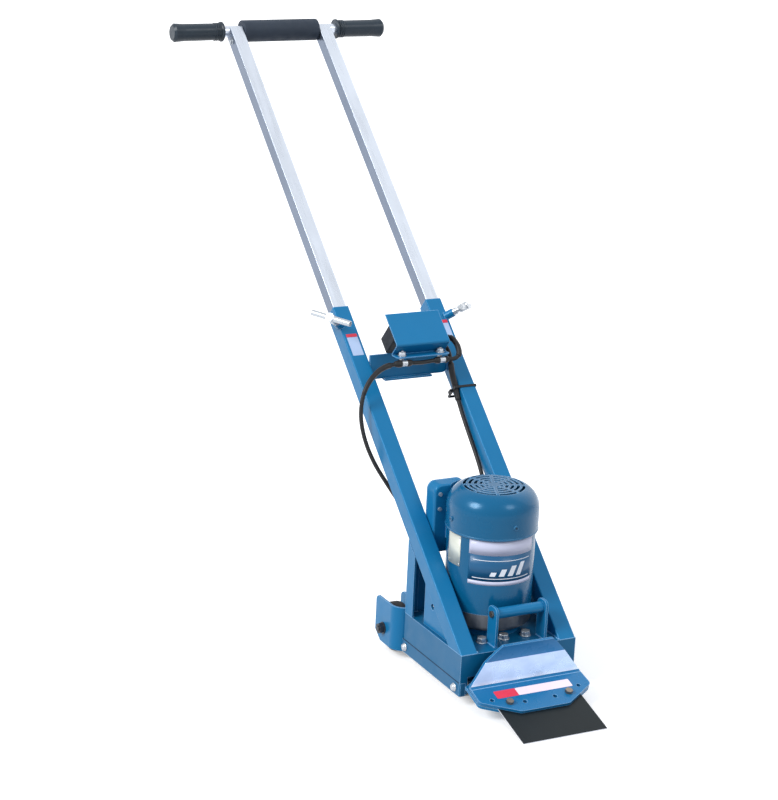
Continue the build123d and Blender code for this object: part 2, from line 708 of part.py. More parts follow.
def motor_stator():
    low = BASE_TOP + FLANGE_THICKNESS + BELL_HEIGHT + 38
    stack = ring((0, MOTOR_Y, low), (0, 0, 1), MOTOR_RADIUS - SHELL_WALL, STATOR_INNER, 72)
    for x, y in THROUGH_BOLTS:
        stack -= rod((x, y, low - 1), (0, 0, 1), 2.75, 80)
    winding = ring((0, MOTOR_Y, low - 20), (0, 0, 1), 70, STATOR_INNER + 6, 20)
    winding += ring((0, MOTOR_Y, low + 72), (0, 0, 1), 70, STATOR_INNER + 6, 20)
    return stack + winding


def motor_bearings():
    lower = BASE_TOP + FLANGE_THICKNESS + 10
    upper = SHELL_TOP - 4
    seats = []
    for z in (lower, upper):
        seats.append(
            ring((0, MOTOR_Y, z), (0, 0, 1), BEARING_OUTER, SHAFT_RADIUS + SHAFT_FIT, 12)
        )
    return seats


# Rotor and eccentric
def rotor_shaft():
    return rod((0, MOTOR_Y, ECCENTRIC_TOP - 30), (0, 0, 1), SHAFT_RADIUS, SHAFT_TOP - ECCENTRIC_TOP + 30)


def rotor_core():
    low = BASE_TOP + FLANGE_THICKNESS + BELL_HEIGHT + 38
    core = ring((0, MOTOR_Y, low), (0, 0, 1), STATOR_INNER - ROTOR_FIT, SHAFT_RADIUS, 72)
    for end in (low - 6, low + 72):
        core += ring((0, MOTOR_Y, end), (0, 0, 1), STATOR_INNER - 6, STATOR_INNER - 16, 6)
    return core


def cooling_fan():
    low = SHELL_TOP + 18
    fan = ring((0, MOTOR_Y, low), (0, 0, 1), 20, SHAFT_RADIUS, 24)
    fan += ring((0, MOTOR_Y, low), (0, 0, 1), 68, SHAFT_RADIUS, 3)
    for turn in range(9):
        blade = Pos(0, MOTOR_Y, low) * Rot(0, 0, 40 * turn) * Pos(43, 0, 12) * Rot(0, 0, 18)
        fan += blade * Box(48, 3, 24)
    return fan


def eccentric():
    low = CARRIAGE_BOTTOM + CARRIAGE_THICKNESS + 4
    body = rod((0, MOTOR_Y, low), (0, 0, 1), ECCENTRIC_RADIUS, ECCENTRIC_TOP - low)
    body -= rod((0, MOTOR_Y, ECCENTRIC_TOP - 30), (0, 0, 1), SHAFT_RADIUS, 40)
    pin = rod((ECCENTRICITY, MOTOR_Y, CARRIAGE_BOTTOM - 3), (0, 0, 1), CRANK_PIN_RADIUS, low + 4 - CARRIAGE_BOTTOM)
    weight = Pos(0, MOTOR_Y, low + 4) * extrude(Circle(30) & Pos(-20, 0) * Rectangle(24, 60), 14)
    body += pin + (weight - rod((0, MOTOR_Y, low), (0, 0, 1), SHAFT_RADIUS, 40))
    return body


def drive_bearing():
    start = (ECCENTRICITY, MOTOR_Y, CARRIAGE_BOTTOM - 1)
    return ring(start, (0, 0, 1), DRIVE_BEARING_RADIUS, CRANK_PIN_RADIUS, CARRIAGE_THICKNESS + 2)


# Terminal box
def terminal_box():
    x, y, z = TERMINAL_X, TERMINAL_Y, TERMINAL_Z
    box = block(x, y, z)
    box = fillet(box.edges().filter_by(Axis.Y), 16)
    box = fillet(box.edges().group_by(Axis.Y)[0], 5)
    neck = block((-60, -20), (185, 202), (z[0] + 30, SHELL_TOP - 10))
    box += neck
    box -= rod((0, MOTOR_Y, z[0] - 10), (0, 0, 1), MOTOR_RADIUS, SHELL_TOP - z[0] + 10)
    box -= rod((0, MOTOR_Y, SHELL_TOP), (0, 0, 1), COVER_RADIUS + 0.3, 120)
    return box


def terminal_cover():
    x, z = TERMINAL_X, TERMINAL_Z
    y = TERMINAL_Y[1]
    cover = block(x, (y, y + 5), z)
    cover = fillet(cover.edges().filter_by(Axis.Y), 16)
    return fillet(cover.edges().group_by(Axis.Y)[-1], 3)


def terminal_screws():
    screws = []
    x, z, y = TERMINAL_X, TERMINAL_Z, TERMINAL_Y
    for sx in (x[0] + 12, x[1] - 12):
        for sz in (z[0] + 19, z[1] - 19):
            screws.append(rod((sx, y[1] + 5, sz), (0, 1, 0), 4, 2.5))
    for sz in (322, 352):
        screws.append(rod((x[0] + 12, y[0] - 2.5, sz), (0, 1, 0), 4, 2.5))
    return screws


# Blade
def scraper_blade():
    half = BLADE_WIDTH / 2
    profile = outline(
        (0, 0),
        (0, -BLADE_LAND),
        (BLADE_BEVEL, -BLADE_THICKNESS),
        (BLADE_DEPTH, -BLADE_THICKNESS),
        (BLADE_DEPTH, 0),
    )
    side = Plane(origin=in_blade(-half, 0, 0), x_dir=BLADE.y_dir, z_dir=(1, 0, 0))
    blade = extrude(side * profile, BLADE_WIDTH)
    corners = blade.edges().filter_by(lambda edge: abs(edge.length - BLADE_THICKNESS) < 0.01)
    blade = fillet(corners, 2)
    for x in (-CLAMP_BOLT_X, CLAMP_BOLT_X):
        round_end = BLADE_DEPTH - NOTCH_DEPTH + NOTCH_WIDTH / 2
        blade -= rod(in_blade(x, round_end, -3), BLADE.z_dir, NOTCH_WIDTH / 2, 6)
        blade -= BLADE * block(
            (x - NOTCH_WIDTH / 2, x + NOTCH_WIDTH / 2), (round_end, BLADE_DEPTH + 1), (-3, 3)
        )
    return blade


def clamp_outline(rear_half, rear):
    return outline(
        (-CLAMP_NOSE_HALF, CLAMP_FRONT),
        (CLAMP_NOSE_HALF, CLAMP_FRONT),
        (CLAMP_HALF, CLAMP_CORNER),
        (rear_half, rear),
        (-rear_half, rear),
        (-CLAMP_HALF, CLAMP_CORNER),
    )


def clamp_holes(plate):
    spots = [(x, CLAMP_BOLT_BACK, BOLT_RADIUS + BOLT_FIT) for x in (-CLAMP_BOLT_X, CLAMP_BOLT_X)]
    for side in SIDES:
        spots.append((side * INNER_HOLE[0], INNER_HOLE[1], FREE_HOLE_RADIUS))
        spots.append((side * OUTER_HOLE[0], OUTER_HOLE[1], FREE_HOLE_RADIUS))
    for x, back, radius in spots:
        plate -= rod(in_blade(x, back, -20), BLADE.z_dir, radius, 40)
    return plate


def round_corners(plate, spots, radius):
    """Rounds the clamp plate's corners that stand on the (x, back) spots of the blade plane."""

    def near(edge):
        place = BLADE.to_local_coords(edge).center()
        if edge.length > 2 * CLAMP_THICKNESS:
            return False
        return any(abs(place.X - x) < 1 and abs(place.Y - back) < 1 for x, back in spots)

    return fillet(plate.edges().filter_by(near), radius)


def clamp_nose(half):
    return [(-CLAMP_NOSE_HALF, CLAMP_FRONT), (CLAMP_NOSE_HALF, CLAMP_FRONT),
            (half, CLAMP_CORNER), (-half, CLAMP_CORNER)]


def upper_clamp():
    """The upper clamp plate and the deflector that is folded up from it, parted at the fold."""
    start = in_blade(0, CLAMP_FRONT - 1, CLAMP_THICKNESS)
    fold = in_blade(0, FOLD_BACK, CLAMP_THICKNESS)
    seen = [(start.Y, start.Z), (fold.Y, fold.Z), FOLD_HIGH, DEFLECTOR_TOP]
    sheet = side_sheet(seen, CLAMP_THICKNESS, 3, CLAMP_HALF + 2, Side.RIGHT)
    foot = BLADE * Pos(0, 0, -5) * extrude(clamp_outline(CLAMP_HALF - 2, 172), 60)
    low_z = fold.Z
    high = [(119, low_z - 4), (119, low_z), (86.5, FOLD_HIGH[1]), (66.5, 116), (46, 135)]
    face = outline(*high, *[(-x, z) for x, z in high[::-1]])
    wall = extrude(Plane(origin=(0, 40, 0), x_dir=(1, 0, 0), z_dir=(0, -1, 0)) * face, 90)
    cut = block((-FAR, FAR), (-FAR, FAR), (low_z - 2, FAR))
    flange = clamp_holes((sheet & foot) - cut)
    return round_corners(flange, clamp_nose(CLAMP_HALF), 12), sheet & wall & cut


def carriage_plate():
    """The lower clamp plate, bent level under the base, with the yoke slot for the drive."""
    low = in_blade(0, CLAMP_FRONT - 1, -BLADE_THICKNESS - CLAMP_THICKNESS)
    bend_back = (CARRIAGE_BOTTOM - low.Z) / tan(SLOPE)
    points = [(low.Y, low.Z), (low.Y + bend_back, CARRIAGE_BOTTOM), (CARRIAGE_BACK, CARRIAGE_BOTTOM)]
    sheet = side_sheet(points, CLAMP_THICKNESS, 8, CLAMP_HALF + 2)
    foot = BLADE * Pos(0, 0, -16) * extrude(clamp_outline(CLAMP_HALF - 1, 178), 40)
    foot &= block((-FAR, FAR), (-FAR, -12), (0, FAR))
    tail = outline(
        (-CLAMP_HALF + 1, -12.5),
        (CLAMP_HALF - 1, -12.5),
        (CARRIAGE_HALF, 2),
        (CARRIAGE_HALF, CARRIAGE_BACK),
        (-CARRIAGE_HALF, CARRIAGE_BACK),
        (-CARRIAGE_HALF, 2),
    )
    tail = extrude(tail, 80)
    plate = sheet & (foot + tail)
    plate = clamp_holes(plate)
    reach_y = DRIVE_BEARING_RADIUS + 2 * CARRIAGE_TRAVEL + YOKE_CLEARANCE
    reach_x = DRIVE_BEARING_RADIUS + ECCENTRICITY + YOKE_CLEARANCE
    yoke = block(
        (-reach_x, reach_x), (MOTOR_Y - reach_y, MOTOR_Y + reach_y), (30, 60)
    )
    plate -= fillet(yoke.edges().filter_by(Axis.Z), 8)
    return round_corners(plate, clamp_nose(CLAMP_HALF), 12)


def clamp_bolts():
    bolts = []
    top = CLAMP_THICKNESS
    low = -BLADE_THICKNESS - CLAMP_THICKNESS
    for x in (-CLAMP_BOLT_X, CLAMP_BOLT_X):
        head = hexagon(in_blade(x, CLAMP_BOLT_BACK, top), BLADE.z_dir, 13, 6)
        shank = rod(in_blade(x, CLAMP_BOLT_BACK, low - 7), BLADE.z_dir, BOLT_RADIUS, top - low + 8)
        nut = hexagon(in_blade(x, CLAMP_BOLT_BACK, low - 6), BLADE.z_dir, 13, 6)
        bolts.append(head + shank + nut)
    return bolts


# Wheels
def wheel_bracket(side):
    """A strap bent to a U round the wheel, welded by its bow to the base's rear wall."""
    middle = WHEEL_X
    seat = 0.8
    bow = BASE_DEPTH - seat + BRACKET_HALF
    outer = Pos(middle, bow) * Circle(BRACKET_HALF) + Pos(middle, (bow + BRACKET_BACK) / 2) * Rectangle(
        2 * BRACKET_HALF, BRACKET_BACK - bow
    )
    inset = BRACKET_HALF - BRACKET_THICKNESS
    inner = Pos(middle, bow) * Circle(inset) + Pos(middle, (bow + BRACKET_BACK + 5) / 2) * Rectangle(
        2 * inset, BRACKET_BACK + 5 - bow
    )
    strap = extrude(Pos(0, 0, BRACKET_Z[0]) * (outer - inner), BRACKET_Z[1] - BRACKET_Z[0])
    strap -= block((0, FAR), (0, BASE_DEPTH), (0, FAR))
    tops = strap.edges().filter_by(Axis.X).filter_by(lambda edge: edge.center().Y > BRACKET_BACK - 1)
    strap = fillet(tops.group_by(Axis.Z)[-1], 12)
    # The outer leg's lower rear corner is cut off.
    back = BRACKET_BACK
    points = [(back - 24, 10), (back + 16, 10), (back + 16, 50), (back, 35), (back - 24, 17)]
    cut = upright_plate(points, middle, 2 * BRACKET_HALF)
    strap -= cut
    axle = (middle - BRACKET_HALF - 1, AXLE_Y, WHEEL_RADIUS)
    strap -= rod(axle, (1, 0, 0), AXLE_RADIUS, 2 * BRACKET_HALF + 2)
    return strap if side > 0 else mirrored(strap)


def wheel_axle(side):
    low = WHEEL_X - BRACKET_HALF
    high = WHEEL_X + BRACKET_HALF
    bolt = rod((low - 1, AXLE_Y, WHEEL_RADIUS), (1, 0, 0), AXLE_RADIUS, high - low + 14)
    bolt += hexagon((low - 7, AXLE_Y, WHEEL_RADIUS), (1, 0, 0), 19, 7)
    nut = hexagon((high + 2, AXLE_Y, WHEEL_RADIUS), (1, 0, 0), 19, 9)
    washer = rod((high, AXLE_Y, WHEEL_RADIUS), (1, 0, 0), 12, 2)
    whole = bolt + nut + washer
    return whole if side > 0 else mirrored(whole)


def wheel_hub(side):
    reach = BRACKET_HALF - BRACKET_THICKNESS - HUB_SIDE_GAP
    start = (WHEEL_X - reach, AXLE_Y, WHEEL_RADIUS)
    hub = rod(start, (1, 0, 0), 13, 2 * reach)
    hub += rod((WHEEL_X - 4, AXLE_Y, WHEEL_RADIUS), (1, 0, 0), RIM_RADIUS, 8)
    rim = ring((WHEEL_X - 15, AXLE_Y, WHEEL_RADIUS), (1, 0, 0), RIM_RADIUS, RIM_RADIUS - 4, 30)
    hub += rim
    hub -= rod(start, (1, 0, 0), AXLE_RADIUS + SHAFT_FIT, 2 * reach)
    return hub if side > 0 else mirrored(hub)


def wheel_tyre(side):
    half = TYRE_HALF
    crown = WHEEL_RADIUS
    profile = outline(
        (-15, RIM_RADIUS),
        (15, RIM_RADIUS),
        (half, crown - 12),
        (half - 1, crown - 6),
        (half - 5, crown - 1.6),
        (half - 10, crown),
        (10 - half, crown),
        (5 - half, crown - 1.6),
        (1 - half, crown - 6),
        (-half, crown - 12),
    )
    tyre = revolve(Plane.XY * profile, axis=Axis.X)
    tyre = tyre.moved(Location((WHEEL_X, AXLE_Y, WHEEL_RADIUS)))
    return tyre if side > 0 else mirrored(tyre)


# Grab handle
def grab_bracket(x, inward):
    y, z = GRAB_CENTRE
    top = BASE_TOP + GRAB_HEIGHT
    low = x if inward > 0 else x - GRAB_PLATE
    points = [(GRAB_Y[0], BASE_TOP), (GRAB_Y[1], BASE_TOP), (GRAB_Y[1], top), (GRAB_Y[0], top)]
    plate = upright_plate(points, low, GRAB_PLATE)
    edges = plate.edges().filter_by(Axis.X).group_by(Axis.Z)[-1]
    plate = fillet(edges, 11)
    return plate - rod((low - 1, y, z), (1, 0, 0), 3.2, GRAB_PLATE + 2)


def grab_bar():
    y, z = GRAB_CENTRE
    low = GRAB_X[0] + GRAB_PLATE
    high = GRAB_X[1] - GRAB_PLATE
    bar = rod((low, y, z), (1, 0, 0), GRAB_RADIUS, high - low)
    for end in (low - 1, high - 14):
        bar -= rod((end, y, z), (1, 0, 0), 3, 15)
    return bar


def grab_screws():
    y, z = GRAB_CENTRE
    screws = []
    for x, way in ((GRAB_X[0], 1), (GRAB_X[1], -1)):
        shank = rod((x, y, z), (way, 0, 0), 3, GRAB_PLATE + 13)
        head = rod((x, y, z), (-way, 0, 0), 6.5, 4)
        screws.append(shank + head)
    return screws


# Cords, their clips and glands
def cord_clips():
    y, z = CLIP_CENTRE
    clips = []
    for side in SIDES:
        x = side * CLIP_X
        strap = rod((x - 6, y, z), (1, 0, 0), CORD_RADIUS + CORD_FIT + CLIP_STRAP, 12)
        strap += block((x - 6, x + 6), (y, CLIP_BOLT_Y + 6), (z - CLIP_STRAP, z + CLIP_STRAP))
        strap -= rod((x - 7, y, z), (1, 0, 0), CORD_RADIUS + CORD_FIT, 14)
        strap -= rod((x, CLIP_BOLT_Y, z - 5), (0, 0, 1), 3.1, 12)
        clips.append(strap)
    return clips


def clip_bolts():
    low = CLIP_CENTRE[1] - CLIP_STRAP
    high = CLIP_CENTRE[1] + CLIP_STRAP
    lip_top = HOOD_LIP_Z + HOOD_SHEET
    bolts = []
    for side in SIDES:
        x = side * CLIP_X
        head = hexagon((x, CLIP_BOLT_Y, low - 6), (0, 0, 1), 9, 6)
        shank = rod((x, CLIP_BOLT_Y, low - 1), (0, 0, 1), 3, lip_top + 8 - low)
        locknut = hexagon((x, CLIP_BOLT_Y, high), (0, 0, 1), 9, HOOD_LIP_Z - high)
        nut = hexagon((x, CLIP_BOLT_Y, lip_top), (0, 0, 1), 9, 6)
        bolts.append(head + shank + locknut + nut)
    return bolts


def gland(start, axis, length, radius):
    body = hexagon(start, axis, 2 * radius, length * 0.45)
    place = Plane(origin=Vector(*start) + Vector(*axis) * (length * 0.45), z_dir=axis)
    cone = place * Cone(
        radius * 0.85, CORD_RADIUS + 1.5, length * 0.55, align=(Align.CENTER, Align.CENTER, Align.MIN)
    )
    bore = rod(Vector(*start) + Vector(*axis) * 2, axis, CORD_RADIUS, length)
    return body + cone - bore


def cord_glands():
    return [
        gland((BOX_X[1], SUPPLY_EXIT.Y, SUPPLY_EXIT.Z), (1, 0, 0), GLAND_LENGTH, 8.5),
        gland((BOX_X[1], LEAD_EXIT.Y, LEAD_EXIT.Z), (1, 0, 0), GLAND_LENGTH, 7.5),
        gland((TERMINAL_X[1], LEAD_END[1], LEAD_END[2]), (1, 0, 0), GLAND_LENGTH, 6.5),
    ]


def cable_tie():
    """A strap round the right sleeve and the motor lead beside it."""
    along = 579
    inner = SLEEVE_INNER_X - 2 * CORD_RADIUS - 2.5
    outer = BASE_WIDTH / 2
    x = (inner - 1.5, outer + 1.5)
    strap = frame_block(x, (along - 2.5, along + 2.5), (-SLEEVE_SIDE - 1.5, 1.5))
    strap -= frame_block((inner, outer), (along - 4, along + 4), (-SLEEVE_SIDE, 0))
    head = frame_block((inner - 6, inner - 1), (along - 4, along + 4), (-24, -13))
    return strap + head


def supply_plug():
    """A moulded three-pin plug lying on the floor, its pins towards +X."""
    x, y, z = CORD_END
    profile = [Pos(0, 0, 0) * Circle(CORD_RADIUS + 2.5), Pos(0, 0, 14) * Circle(8), Pos(0, 0, 20) * Circle(PLUG_RADIUS)]
    place = Plane(origin=(x, y, z), z_dir=(1, 0, 0), x_dir=(0, 1, 0))
    relief = place * loft([profile[0], profile[1]])
    body = place * Pos(0, 0, 14) * extrude(Circle(PLUG_RADIUS), 28)
    rims = body.edges().filter_by(GeomType.CIRCLE)
    plug = fillet(rims, 3) + relief
    for across in (-6.35, 6.35):
        plug += place * Pos(across, 2, 40) * Box(1.5, 6.3, 36)
    plug += place * Pos(0, -7, 41) * Cylinder(2.4, 36)
    return plug


MID_Y = (EDGE_Y + in_frame(0, BAR_ALONG, -SLEEVE_SIDE / 2).Y + FOAM_RADIUS) / 2
RAIL_BOLT_Y = (RAIL_BOLT_FRONT, BASE_DEPTH - RAIL_BOLT_BACK)
TOP_BOLTS = [(-56.0, 46.0), (-8.0, 46.0), (40.0, 46.0)]
MOTOR_BOLTS = [
    (57 * cos(radians(angle)), MOTOR_Y + 57 * sin(radians(angle))) for angle in (45, 135, 225, 315)
]
THROUGH_BOLTS = [
    (THROUGH_BOLT_CIRCLE * cos(radians(angle)), MOTOR_Y + THROUGH_BOLT_CIRCLE * sin(radians(angle)))
    for angle in (30, 150, 210, 330)
]
CLAMP_BOLT_BACK = BLADE_DEPTH - NOTCH_DEPTH + NOTCH_WIDTH / 2
SUPPLY_EXIT = in_frame(0, 672, 50)
LEAD_EXIT = in_frame(0, 672, 31)
LEAD_END = (0, 222.0, 290.0)
# The operator's face of the switch box, its Y towards the frame's lift
ROCKER_FACE = Plane(
    origin=in_frame((BOX_X[0] + BOX_X[1]) / 2, BOX_ALONG[1], (BOX_LIFT[0] + BOX_LIFT[1]) / 2),
    x_dir=(-1, 0, 0),
    z_dir=(ALONG.X, ALONG.Y, ALONG.Z),
)

# Cord routes, chosen by eye. The held supply cord loops from the box into its two clips, and
# the free one hangs behind the left sleeve and lies on the floor behind the base.
SUPPLY_HELD = [
    (BOX_X[1] + GLAND_LENGTH, SUPPLY_EXIT.Y, SUPPLY_EXIT.Z),
    (68, SUPPLY_EXIT.Y, SUPPLY_EXIT.Z),
    (77, 465, 583),
    (81, 451, 577),
    (81, 436, 568),
    (79, 427, 556),
    (70, 428, 548),
    (56, CLIP_CENTRE[0], CLIP_CENTRE[1]),
    (29, CLIP_CENTRE[0], CLIP_CENTRE[1]),
    (14, 434.5, 546),
    (0, 434, 545),
    (-14, 432.5, 546),
    (-29, CLIP_CENTRE[0], CLIP_CENTRE[1]),
    (-52, CLIP_CENTRE[0], CLIP_CENTRE[1]),
]
SUPPLY_FREE = [
    (-52, CLIP_CENTRE[0], CLIP_CENTRE[1]),
    (-76, CLIP_CENTRE[0], CLIP_CENTRE[1]),
    (-103, 428, 539),
    (-128, 420, 520),
    (-144, 415, 489),
    (-149, 408, 449),
    (-144, 393, 405),
    (-131, 372, 363),
    (-110, 352, 324),
    (-84, 338, 281),
    (-66, 330, 234),
    (-60, 325, 188),
    (-60, 320, 142),
    (-61, 314, 98),
    (-60, 307, 59),
    (-52, 299, 29),
    (-34, 293, PLUG_RADIUS),
    (-10, 293, PLUG_RADIUS),
]
CORD_END = SUPPLY_FREE[-1]
MOTOR_LEAD = [
    (BOX_X[1] + GLAND_LENGTH, LEAD_EXIT.Y, LEAD_EXIT.Z),
    (66, LEAD_EXIT.Y, LEAD_EXIT.Z),
    (74, 476, 562),
    (77, 464, 548),
    (76, 455, 529),
    (78, 450, 506),
    (83.5, 445, 483),
    (84, 432, 460),
    (83, 411, 437),
    (84, 386, 408),
    (84, 358, 380),
    (83, 330, 353),
    (78, 302, 329),
    (66, 268, 308),
    (45, 236, 294),
    (22, 222, 290),
    (TERMINAL_X[1] + GLAND_LENGTH, 222, 290),
]

os.makedirs("parts", exist_ok=True)
for old in os.listdir("parts"):
    os.remove("parts/" + old)

save("base_housing", base_housing())
save("side_rails", *side_rails())
save("bottom_pan", bottom_pan())
save("guide_strips", *guide_strips())
save("rail_bolts", *rail_bolts())
save("top_bolts", *top_bolts())
save("left_frame_tube", frame_tube(-1))
save("right_frame_tube", frame_tube(1))
save("rear_posts", *[rear_post(side) for side in SIDES])
save("gusset_plates", *[gusset_plate(side) for side in SIDES])
save("cross_plate", cross_plate())
save("switch_hood", switch_hood())
save("switch_box", switch_box())
save("switch_rocker", switch_rocker())
save("inner_tubes", *[inner_tube(side) for side in SIDES])
save("handlebar", handlebar())
save("handle_grips", *[grip(side) for side in SIDES])
save("foam_sleeve", foam_sleeve())
save("left_tee_bolt", tee_bolt(-1))
save("right_tee_bolt", tee_bolt(1))
save("motor_flange", motor_flange())
save("motor_mount_bolts", *motor_mount_bolts())
save("motor_end_bell", motor_end_bell())
save("motor_shell", motor_shell())
save("motor_top_bell", motor_top_bell())
save("motor_fan_cover", motor_fan_cover())
save("motor_cover_screws", *motor_cover_screws())
save("motor_through_bolts", *motor_through_bolts())
save("motor_stator", motor_stator())
save("motor_bearings", *motor_bearings())
save("rotor_shaft", rotor_shaft())
save("rotor_core", rotor_core())
save("cooling_fan", cooling_fan())
save("eccentric", eccentric())
save("drive_bearing", drive_bearing())
save("terminal_box", terminal_box())
save("terminal_cover", terminal_cover())
save("terminal_screws", *terminal_screws())
save("scraper_blade", scraper_blade())
flange, deflector = upper_clamp()
save("clamp_plate", flange)
save("deflector_plate", deflector)
save("carriage_plate", carriage_plate())
save("clamp_bolts", *clamp_bolts())
save("wheel_brackets", *[wheel_bracket(side) for side in SIDES])
save("wheel_axles", *[wheel_axle(side) for side in SIDES])
for side, name in ((-1, "left"), (1, "right")):
    save(name + "_wheel_hub", wheel_hub(side))
    save(name + "_wheel_tyre", wheel_tyre(side))
save("grab_brackets", grab_bracket(GRAB_X[0], 1), grab_bracket(GRAB_X[1], -1))
save("grab_bar", grab_bar())
save("grab_screws", *grab_screws())
save("cord_clips", *cord_clips())
save("clip_bolts", *clip_bolts())
save("cord_glands", *cord_glands())
save("cable_tie", cable_tie())
save("supply_cord_held", tube_along(SUPPLY_HELD, CORD_RADIUS, "held supply cord"))
save("supply_cord_free", tube_along(SUPPLY_FREE, CORD_RADIUS, "free supply cord"))
save("motor_lead", tube_along(MOTOR_LEAD, CORD_RADIUS, "motor lead"))
save("supply_plug", supply_plug())
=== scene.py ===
import math

import bmesh
import bpy
from mathutils import Matrix, Vector


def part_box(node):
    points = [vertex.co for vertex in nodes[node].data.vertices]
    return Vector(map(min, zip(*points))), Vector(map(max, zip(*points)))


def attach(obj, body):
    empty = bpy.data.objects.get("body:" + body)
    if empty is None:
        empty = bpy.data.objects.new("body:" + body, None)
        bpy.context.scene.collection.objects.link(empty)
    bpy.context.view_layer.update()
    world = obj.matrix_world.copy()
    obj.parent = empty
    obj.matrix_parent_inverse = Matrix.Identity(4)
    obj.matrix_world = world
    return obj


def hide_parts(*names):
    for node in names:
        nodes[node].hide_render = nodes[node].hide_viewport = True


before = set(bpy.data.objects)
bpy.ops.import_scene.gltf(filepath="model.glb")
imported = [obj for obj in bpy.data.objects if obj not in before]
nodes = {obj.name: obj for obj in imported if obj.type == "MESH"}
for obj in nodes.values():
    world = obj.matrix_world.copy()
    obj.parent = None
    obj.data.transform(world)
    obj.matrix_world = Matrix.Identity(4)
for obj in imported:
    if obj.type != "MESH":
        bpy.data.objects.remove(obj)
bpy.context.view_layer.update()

# Driving sizes in millimetres, in the machine's own terms: X across, Y back from the base's
# front face, Z up from the floor, and along and lift in the plane of the slanted sleeves.
MM = 0.001
FRAME_ANGLE = math.radians(41.17)
BLADE_ANGLE = math.radians(16.0)
BASE_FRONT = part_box("base_housing")[0].y
BASE_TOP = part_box("base_housing")[1].z / MM
BASE_DEPTH = (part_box("base_housing")[1].y - BASE_FRONT) / MM
BASE_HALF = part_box("base_housing")[1].x / MM
SLEEVE_SIDE = 36.0
SLEEVE_INNER = BASE_HALF - SLEEVE_SIDE
MOTOR_Y = 128.7
MOTOR_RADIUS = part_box("motor_shell")[1].x / MM
COVER_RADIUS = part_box("motor_fan_cover")[1].x / MM
EDGE_Y = (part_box("scraper_blade")[0].y - BASE_FRONT) / MM
CLAMP_LIFT = 6.0
BAR_ALONG = 1548.0
BAR_LIFT = -SLEEVE_SIDE / 2
BAR_RADIUS = 12.0
GRIP_RADIUS = 19.5
GRIP_FROM = 137.0
RAIL_BOLT_Y = (21.0, BASE_DEPTH - 12.0)
RAIL_BOLT_Z = 33.0
SEAM_Z = 47.5
POST_WEB = 26.0
POST_BACK = BASE_DEPTH - 6.0
WEB_REACH = 44.0
WEB_HEIGHT = 120.0
STICKER = 0.25
CORD_RADIUS = 4.25


def spot(x, y, z):
    return Vector((x * MM, BASE_FRONT + y * MM, z * MM))


def in_frame(x, along, lift):
    c, s = math.cos(FRAME_ANGLE), math.sin(FRAME_ANGLE)
    return spot(x, along * c - lift * s, BASE_TOP + along * s + lift * c)


def in_blade(x, back, lift):
    c, s = math.cos(BLADE_ANGLE), math.sin(BLADE_ANGLE)
    return spot(x, EDGE_Y + back * c - lift * s, back * s + lift * c)


# Materials
def srgb(code):
    """The linear colour of a written #RRGGBB."""
    parts = [int(code[i : i + 2], 16) / 255 for i in (1, 3, 5)]
    line = [p / 12.92 if p <= 0.04045 else ((p + 0.055) / 1.055) ** 2.4 for p in parts]
    return (*line, 1.0)


